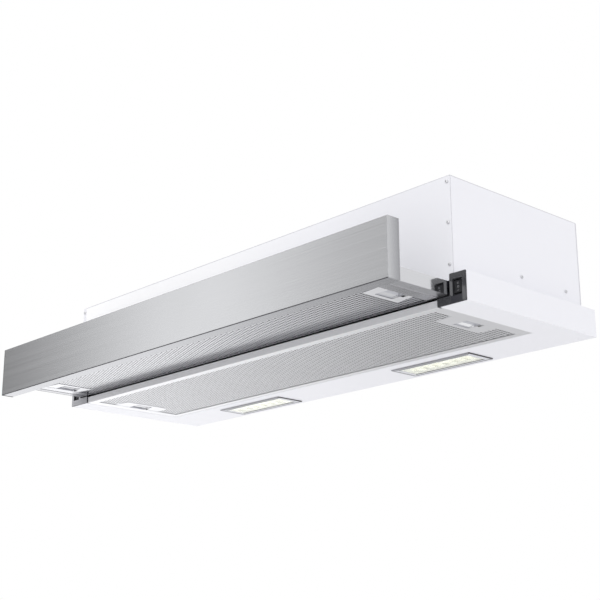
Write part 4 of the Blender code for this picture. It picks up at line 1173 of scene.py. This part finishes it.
def cassette(prefix, body, y0, y1, z0, h, margin, back_margin, outline, mid, notch, bolt_z, latch_body, skin):
    # frame: folded rim with a rounded outer edge and a low step round the field
    adds = [(-FX_OUT, FX_OUT, y0, y1, z0, z0 + h)]
    y1 = y1 - (2.9 if not notch else 0.0)
    cuts = [(-FX_IN, FX_IN, y0 + margin, y1 - back_margin, z0 - 1, z0 + h + 1)]
    if notch:
        for sx in (-1, 1):
            cuts += mirror_boxes([(400.8, FX_OUT + 1, y0 - 1, 4.4, z0 - 1, z0 + h + 1)], sx)
    frame_bm = cells(adds, cuts)
    soften(frame_bm, 0.7, 3, lambda e: near(edge_mid(e).z, z0) and (near(edge_mid(e).y, y0) or near(edge_mid(e).y, y1) or near(abs(edge_mid(e).x), FX_OUT)))
    soften(frame_bm, 0.35, 2, lambda e: near(edge_mid(e).z, z0))
    steps = []
    for s in (-1, 1):
        pts = [(s * x, y) for x, y in outline]
        if s < 0:
            pts = pts[::-1]
        plate = prism(pts, "z", z0 + 0.3, z0 + 0.95)
        soften(plate, 0.2, 2, lambda e: near(edge_mid(e).z, z0 + 0.3))
        win = rr_loft(s * 373.1, mid, [(13.1, 16.0, 1.2, z0 - 1), (13.1, 16.0, 1.2, z0 + 3)], n=4)
        tri = [(s * 376.5, mid + 12.5), (s * 385.2, mid + 20.5), (s * 374.5, mid + 20.5)]
        plate = boolean(plate, [("DIFFERENCE", win), ("DIFFERENCE", prism(tri if s > 0 else tri[::-1], "z", z0 - 1, z0 + 3))])
        bolt = cells(mirror_boxes([(380.0, 410.0, mid - 5.6, mid + 5.6, bolt_z - 0.4, bolt_z + 3.0)], s))
        steps += [("UNION", plate), ("DIFFERENCE", bolt)]
    bm = boolean(frame_bm, steps)
    # the tray frame takes the painted-shade copy while its latch plates' undersides keep the plain aluminium; the fixed
    # frame's front face takes the painted-light copy
    metal = [ALU, ALU_EDGE_LIT] if notch else [ALU_TRAY_SHADE, ALU]
    emit(prefix + "_cassette_frame", bm, metal, body, [prefix + "_filter_frame"], sharp=40,
         pick=(lambda n, c: 1 if n.y < -0.9 and c.y < y0 + 1 else 0) if notch else (lambda n, c: 1 if abs(c.z - (z0 + 0.3)) < 0.06 else 0))

    def in_plate(x, y, grow):
        ax = abs(x)
        inside = False
        n = len(outline)
        for i in range(n):
            (xa, ya), (xb, yb) = outline[i], outline[(i + 1) % n]
            if (ya > y) != (yb > y) and ax < (xb - xa) * (y - ya) / (yb - ya) + xa:
                inside = not inside
        if inside:
            if grow == 0:
                return True
            return all(in_plate(x + dx, y + dy, 0) for dx, dy in ((grow, 0), (-grow, 0), (0, grow), (0, -grow)) if abs(x + dx) < 386)
        return False

    def keep(x, y):
        if in_plate(x, y, 3.5):
            return "none"
        if in_plate(x, y, 0) or any(in_plate(x + a, y + b, 0) for a, b in ((1.6, 0), (-1.6, 0), (0, 1.6), (0, -1.6))):
            return "solid"
        return "hole"

    xa, xb = -FX_IN + 0.5, FX_IN - 0.5
    ya, yb = y0 + margin + 0.3, y1 - back_margin - (1.5 if notch else 0.4)
    bounds = [(xa, 0.0), (0.0, xb)]
    for k, (p, q) in enumerate(bounds):
        ob = perforated("%s_punched_sheet_%s" % (prefix, "left" if k == 0 else "right"), p, q, ya, yb, z0 + 0.8, 0.14, (6.43, 4.65), 1.75, keep, skin, body)
    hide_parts(prefix + "_filter_mesh")
    # painted shade: the core under the punched sheet is near-black
    core = core_slab(prefix + "_mesh_core", xa, xb, ya, yb, z0 + 2.5, z0 + 4.6, 2.2, lambda x, y: not in_plate(x, y, 0) and not in_plate(x + (2 if x > 0 else -2), y, 0), CORE_PAINTED_SHADE, body)

    # latches: sliding grip with a sloping finger scoop, an end tongue and the bolt
    for side, s in SIDES:
        gx0, gx1 = 365.5, 385.0
        block = cells([(gx0, gx1, mid - 15.4, mid + 15.4, z0 + 0.5, bolt_z)])
        soften(block, 0.35, 2)
        # finger scoop: a ramp from flush at the inner edge down to its deepest at the outer one, then a slot and a tongue
        scoop = prism([(gx0 + 0.8, z0 - 1.0), (gx0 + 0.8, z0 + 0.55), (gx0 + 8.2, z0 + 1.0), (gx0 + 12.5, z0 + 1.7), (gx1 - 5.4, z0 + 3.0), (gx1 - 1.6, z0 + 3.0),
                       (gx1 - 1.6, z0 - 1.0)], "y", mid - 14.2, mid + 9.6)
        pocket = cells([(gx0 + 6.6, gx1 - 1.6, mid + 10.4, mid + 14.4, z0 - 1.0, z0 + 3.0)])
        slit = cells([(gx0 + 1.2, gx0 + 7.4, mid + 10.2, mid + 11.2, z0 - 1.0, z0 + 2.4)])
        tab = cells([(gx0 + 2.6, gx0 + 5.4, mid + 11.2, mid + 14.8, z0 + 0.05, z0 + 2.6)])
        soften(tab, 0.4, 2)
        bolt = cells([(372.0, 408.5, mid - 5.2, mid + 5.2, bolt_z - 0.1, bolt_z + 2.6)])
        soften(bolt, 0.4, 2)
        apron = cells([(356.5, 366.5, mid - 15.4, mid + 15.4, z0 + 1.1, z0 + 1.7)])
        bm = boolean(block, [("DIFFERENCE", scoop), ("DIFFERENCE", pocket), ("DIFFERENCE", slit), ("UNION", tab), ("UNION", bolt), ("UNION", apron)])
        if s < 0:
            bm = flip_x(bm)
        # painted shade: the grip's end walls, deeper scoop faces and outer part take the darker lamp grey
        emit("%s_grip_%s" % (prefix, side), bm, [LATCH if notch else LATCH_TRAY_SHADE, LAMPGREY_AND_LATCH_SHADE], latch_body % side, ["%s_latch_%s" % (prefix, side)], sharp=40,
             pick=lambda n, c: 1 if abs(n.y) > 0.8 or c.z > z0 + 1.05 or abs(c.x) > gx0 + 8.3 else 0)


cassette("fixed", "housing", 0.0, 190.0, 0.0, 10.0, 12.0, 12.0,
         [(386.0, 45.0), (353.0, 50.0), (351.5, 124.0), (358.0, 137.0), (386.0, 137.0)], 91.0, True, 4.0, "fixed_filter_latch_%s", ALU_SKIN)
# the tray cassette takes the painted-shade copies of the frame, skin and latch grey
cassette("tray", "tray", -117.5, 2.5, 12.0, 8.0, 10.0, 1.6,
         [(386.0, -92.0), (353.0, -89.0), (353.0, -24.0), (386.0, -30.0)], -58.0, False, 15.2, "tray_filter_latch_%s", TRAY_SKIN_SHADE)

# ------------------------------------------------------------------ lamps
for (side, s), cx in zip(SIDES, LAMPS):
    y = LAMP_Y
    ring = [(78.0, 28.0, 2.0, -0.3), (78.0, 28.0, 2.0, -1.0), (77.4, 27.4, 1.6, -1.5), (75.8, 25.8, 1.4, -1.5), (75.2, 25.2, 1.2, -0.95),
            (69.0, 19.9, 1.2, -0.95), (68.6, 19.5, 1.2, -1.45), (67.4, 18.4, 1.0, -1.45), (67.0, 18.0, 1.0, -1.0), (67.0, 18.0, 1.0, 9.0),
            (72.6, 22.6, 1.0, 9.0), (72.6, 22.6, 1.0, -0.3)]
    bm = rr_loft(cx, y, ring, loop=True, n=6)

    # painted light and shade on the bezel: dark lines at the right end, the front-right corner and the inner rear lip;
    # painted shade on the front and rear bands and the left end; painted light on the rest of the underside; faces
    # above z -0.25 keep the lamp grey
    def lamp_frame_painted_light_shade(n, c):
        dx, dy = c.x - cx, c.y - y
        if c.z > -0.25:
            return 0
        if dx > 75.4 or (dx > 60 and dy < -25.2) or 17.9 < dy < 19.6:
            return 2
        if dy < -19.3 or dy > 25.4 or dx < -75.4:
            return 1
        return 3

    emit("lamp_frame_" + side, bm, [LAMPGREY_AND_LATCH_SHADE, LAMP_FRAME_PAINTED_SHADE, LAMP_RIM_SHADE, LAMP_FRAME_PAINTED_LIGHT], "housing", ["lamp_bezel_" + side], sharp=40, pick=lamp_frame_painted_light_shade)
    bm = rr_loft(cx, y, [(66.7, 17.7, 0.9, 0.8), (66.7, 17.7, 0.9, -0.8), (66.5, 17.5, 0.9, -1.0)], n=6)
    wells = [("DIFFERENCE", rr_loft(cx + (i - 2.5) * 20.0, y, [(3.6, 6.5, 1.5, -0.65), (4.2, 7.2, 2.0, -1.2)], n=4)) for i in range(6)]
    emit("lamp_cover_" + side, boolean(bm, wells), [LENS, LENS_WELL], "housing", ["lamp_lens_" + side], sharp=40,
         pick=lambda n, c: 1 if -0.97 < c.z < -0.5 and abs(c.y - LAMP_Y) < 9 and abs(c.x - cx) < 60 else 0)
    boards = [cells([(cx - 65, cx + 65, y - 16, y + 16, 5.0, 6.6)])]
    emit("led_strip_" + side, boards[0], BOARD, "housing", ["led_board_" + side])
    leds = []
    for i in range(6):
        lx = cx + (i - 2.5) * 20.0
        leds.append(rr_loft(lx, y, [(2.6, 2.6, 0.5, 5.0), (2.6, 2.6, 0.5, 4.4), (2.1, 2.1, 0.8, 4.2), (1.4, 1.4, 0.8, 4.12)], n=3))
    emit("led_chips_" + side, join(leds), PHOSPHOR, "housing", (), sharp=40)

# ------------------------------------------------------------------ outlet collar, flaps, gland
N = 96
tube = lathe([(72.0, 174.3), (74.5, 174.3), (74.5, 206.0), (74.2, 206.6), (74.2, 216.2), (73.7, 217.0), (72.8, 217.0), (72.0, 216.2)],
             (0, COLLAR_Y), "z", N)
plate = rr_loft(0, COLLAR_Y, [(90, 90, 8, 174.4), (90, 90, 8, 176.3), (89.5, 89.5, 7.5, 176.8)], n=8)
plate = boolean(plate, [("DIFFERENCE", disc((0, COLLAR_Y), "z", 73.2, 170, 180, N))])
rib = cells([(-73, 73, COLLAR_Y - 1, COLLAR_Y + 1, 184, 196)])
pins = join([disc((COLLAR_Y + k * 3.4, 190.0), "x", 1.3, -80, 80, 20) for k in (-1, 1)])
gussets = []
for i in range(12):
    a = math.radians(15 + 30 * i)
    g = prism([(73.6, 176.0), (84.0, 176.0), (74.2, 190.0), (73.6, 190.0)], "y", -0.9, 0.9)
    bmesh.ops.rotate(g, verts=g.verts, cent=(0, 0, 0), matrix=Matrix.Rotation(a, 3, "Z"))
    bmesh.ops.translate(g, verts=g.verts, vec=(0, COLLAR_Y, 0))
    gussets.append(("UNION", g))
emit("collar", boolean(tube, [("UNION", plate), ("UNION", rib)] + gussets + [("DIFFERENCE", pins)]), DARK, "housing", ["outlet_collar"],
     sharp=35)

for fname, k, body in (("damper_flap_front", -1, "damper_front"), ("damper_flap_rear", 1, "damper_rear")):
    hy, r = COLLAR_Y + k * 3.4, 70.8
    a0 = math.asin(3.4 / r)
    arc = [(r * math.cos(a0 + (math.pi - 2 * a0) * i / 48), COLLAR_Y + k * r * math.sin(a0 + (math.pi - 2 * a0) * i / 48)) for i in range(49)]
    flap = prism(arc, "z", 189.4, 190.6)
    steps = [("UNION", disc((hy, 190.0), "x", 1.8, -70.5, 70.5, 24)), ("UNION", disc((hy, 190.0), "x", 1.15, -74.0, 74.0, 20))]
    for x in (-42, -14, 14, 42):
        y1 = COLLAR_Y + k * (math.sqrt(r * r - x * x) - 8.0)
        ya, yb = sorted((hy, y1))
        steps.append(("UNION", cells([(x - 0.8, x + 0.8, ya, yb, 190.2, 191.6)])))
    emit(fname + "_ribbed", boolean(flap, steps), IMPELLER, body, [fname], sharp=35)


def hexed(a, r, t):
    """Hexagonal flats on the gland's nut, round elsewhere."""
    if 9.5 < r < 12.5 and t < 180:
        q = (a % (math.pi / 3)) - math.pi / 6
        return min(r, 10.6 / math.cos(q))
    return r


gland = lathe([(4.2, 169.0), (8.0, 169.0), (8.0, 174.3), (11.6, 174.3), (12.0, 174.8), (12.0, 178.4), (11.5, 179.0), (9.6, 180.2), (9.6, 184.6), (9.0, 186.8),
               (7.6, 190.4), (6.6, 191.6), (5.4, 192.0), (4.2, 191.6)], (-300.0, 225.0), "z", 60, hexed)
emit("gland", gland, BLACK, "housing", ["cable_gland"], sharp=35)

# ------------------------------------------------------------------ pieces inside the box keep their CAD solids and get real finishes
INSIDE = {
    "blower_housing_left": NYLON, "blower_housing_right": NYLON, "impeller": IMPELLER, "motor_shaft": POLISH, "motor": GALV,
    "motor_bracket": GALV, "capacitor": NYLON, "terminal_box": DARK, "terminal_box_cover": DARK, "led_driver": BLACK,
}
for node, mat in INSIDE.items():
    me = frame["nodes"][node].data
    me.materials.clear()
    me.materials.append(mat)
fallback = {"white_paint": WHITE, "brushed_steel": ALU, "polished_steel": POLISH, "filter_aluminium": ALU, "dark_grey_plastic": DARK,
            "black_plastic": BLACK, "galvanised_steel": GALV, "lamp_grey": LAMPGREY_AND_LATCH_SHADE, "lamp_lens": LENS, "led_board": BOARD,
            "screw_zinc": ZINC, "nylon": NYLON}
slots = {p["node"]: p.get("material_slot") for p in frame["record"].get("subparts", [])}
for node, ob in frame["nodes"].items():
    if node not in INSIDE:
        ob.data.materials.clear()
        ob.data.materials.append(fallback.get(slots.get(node), WHITE))
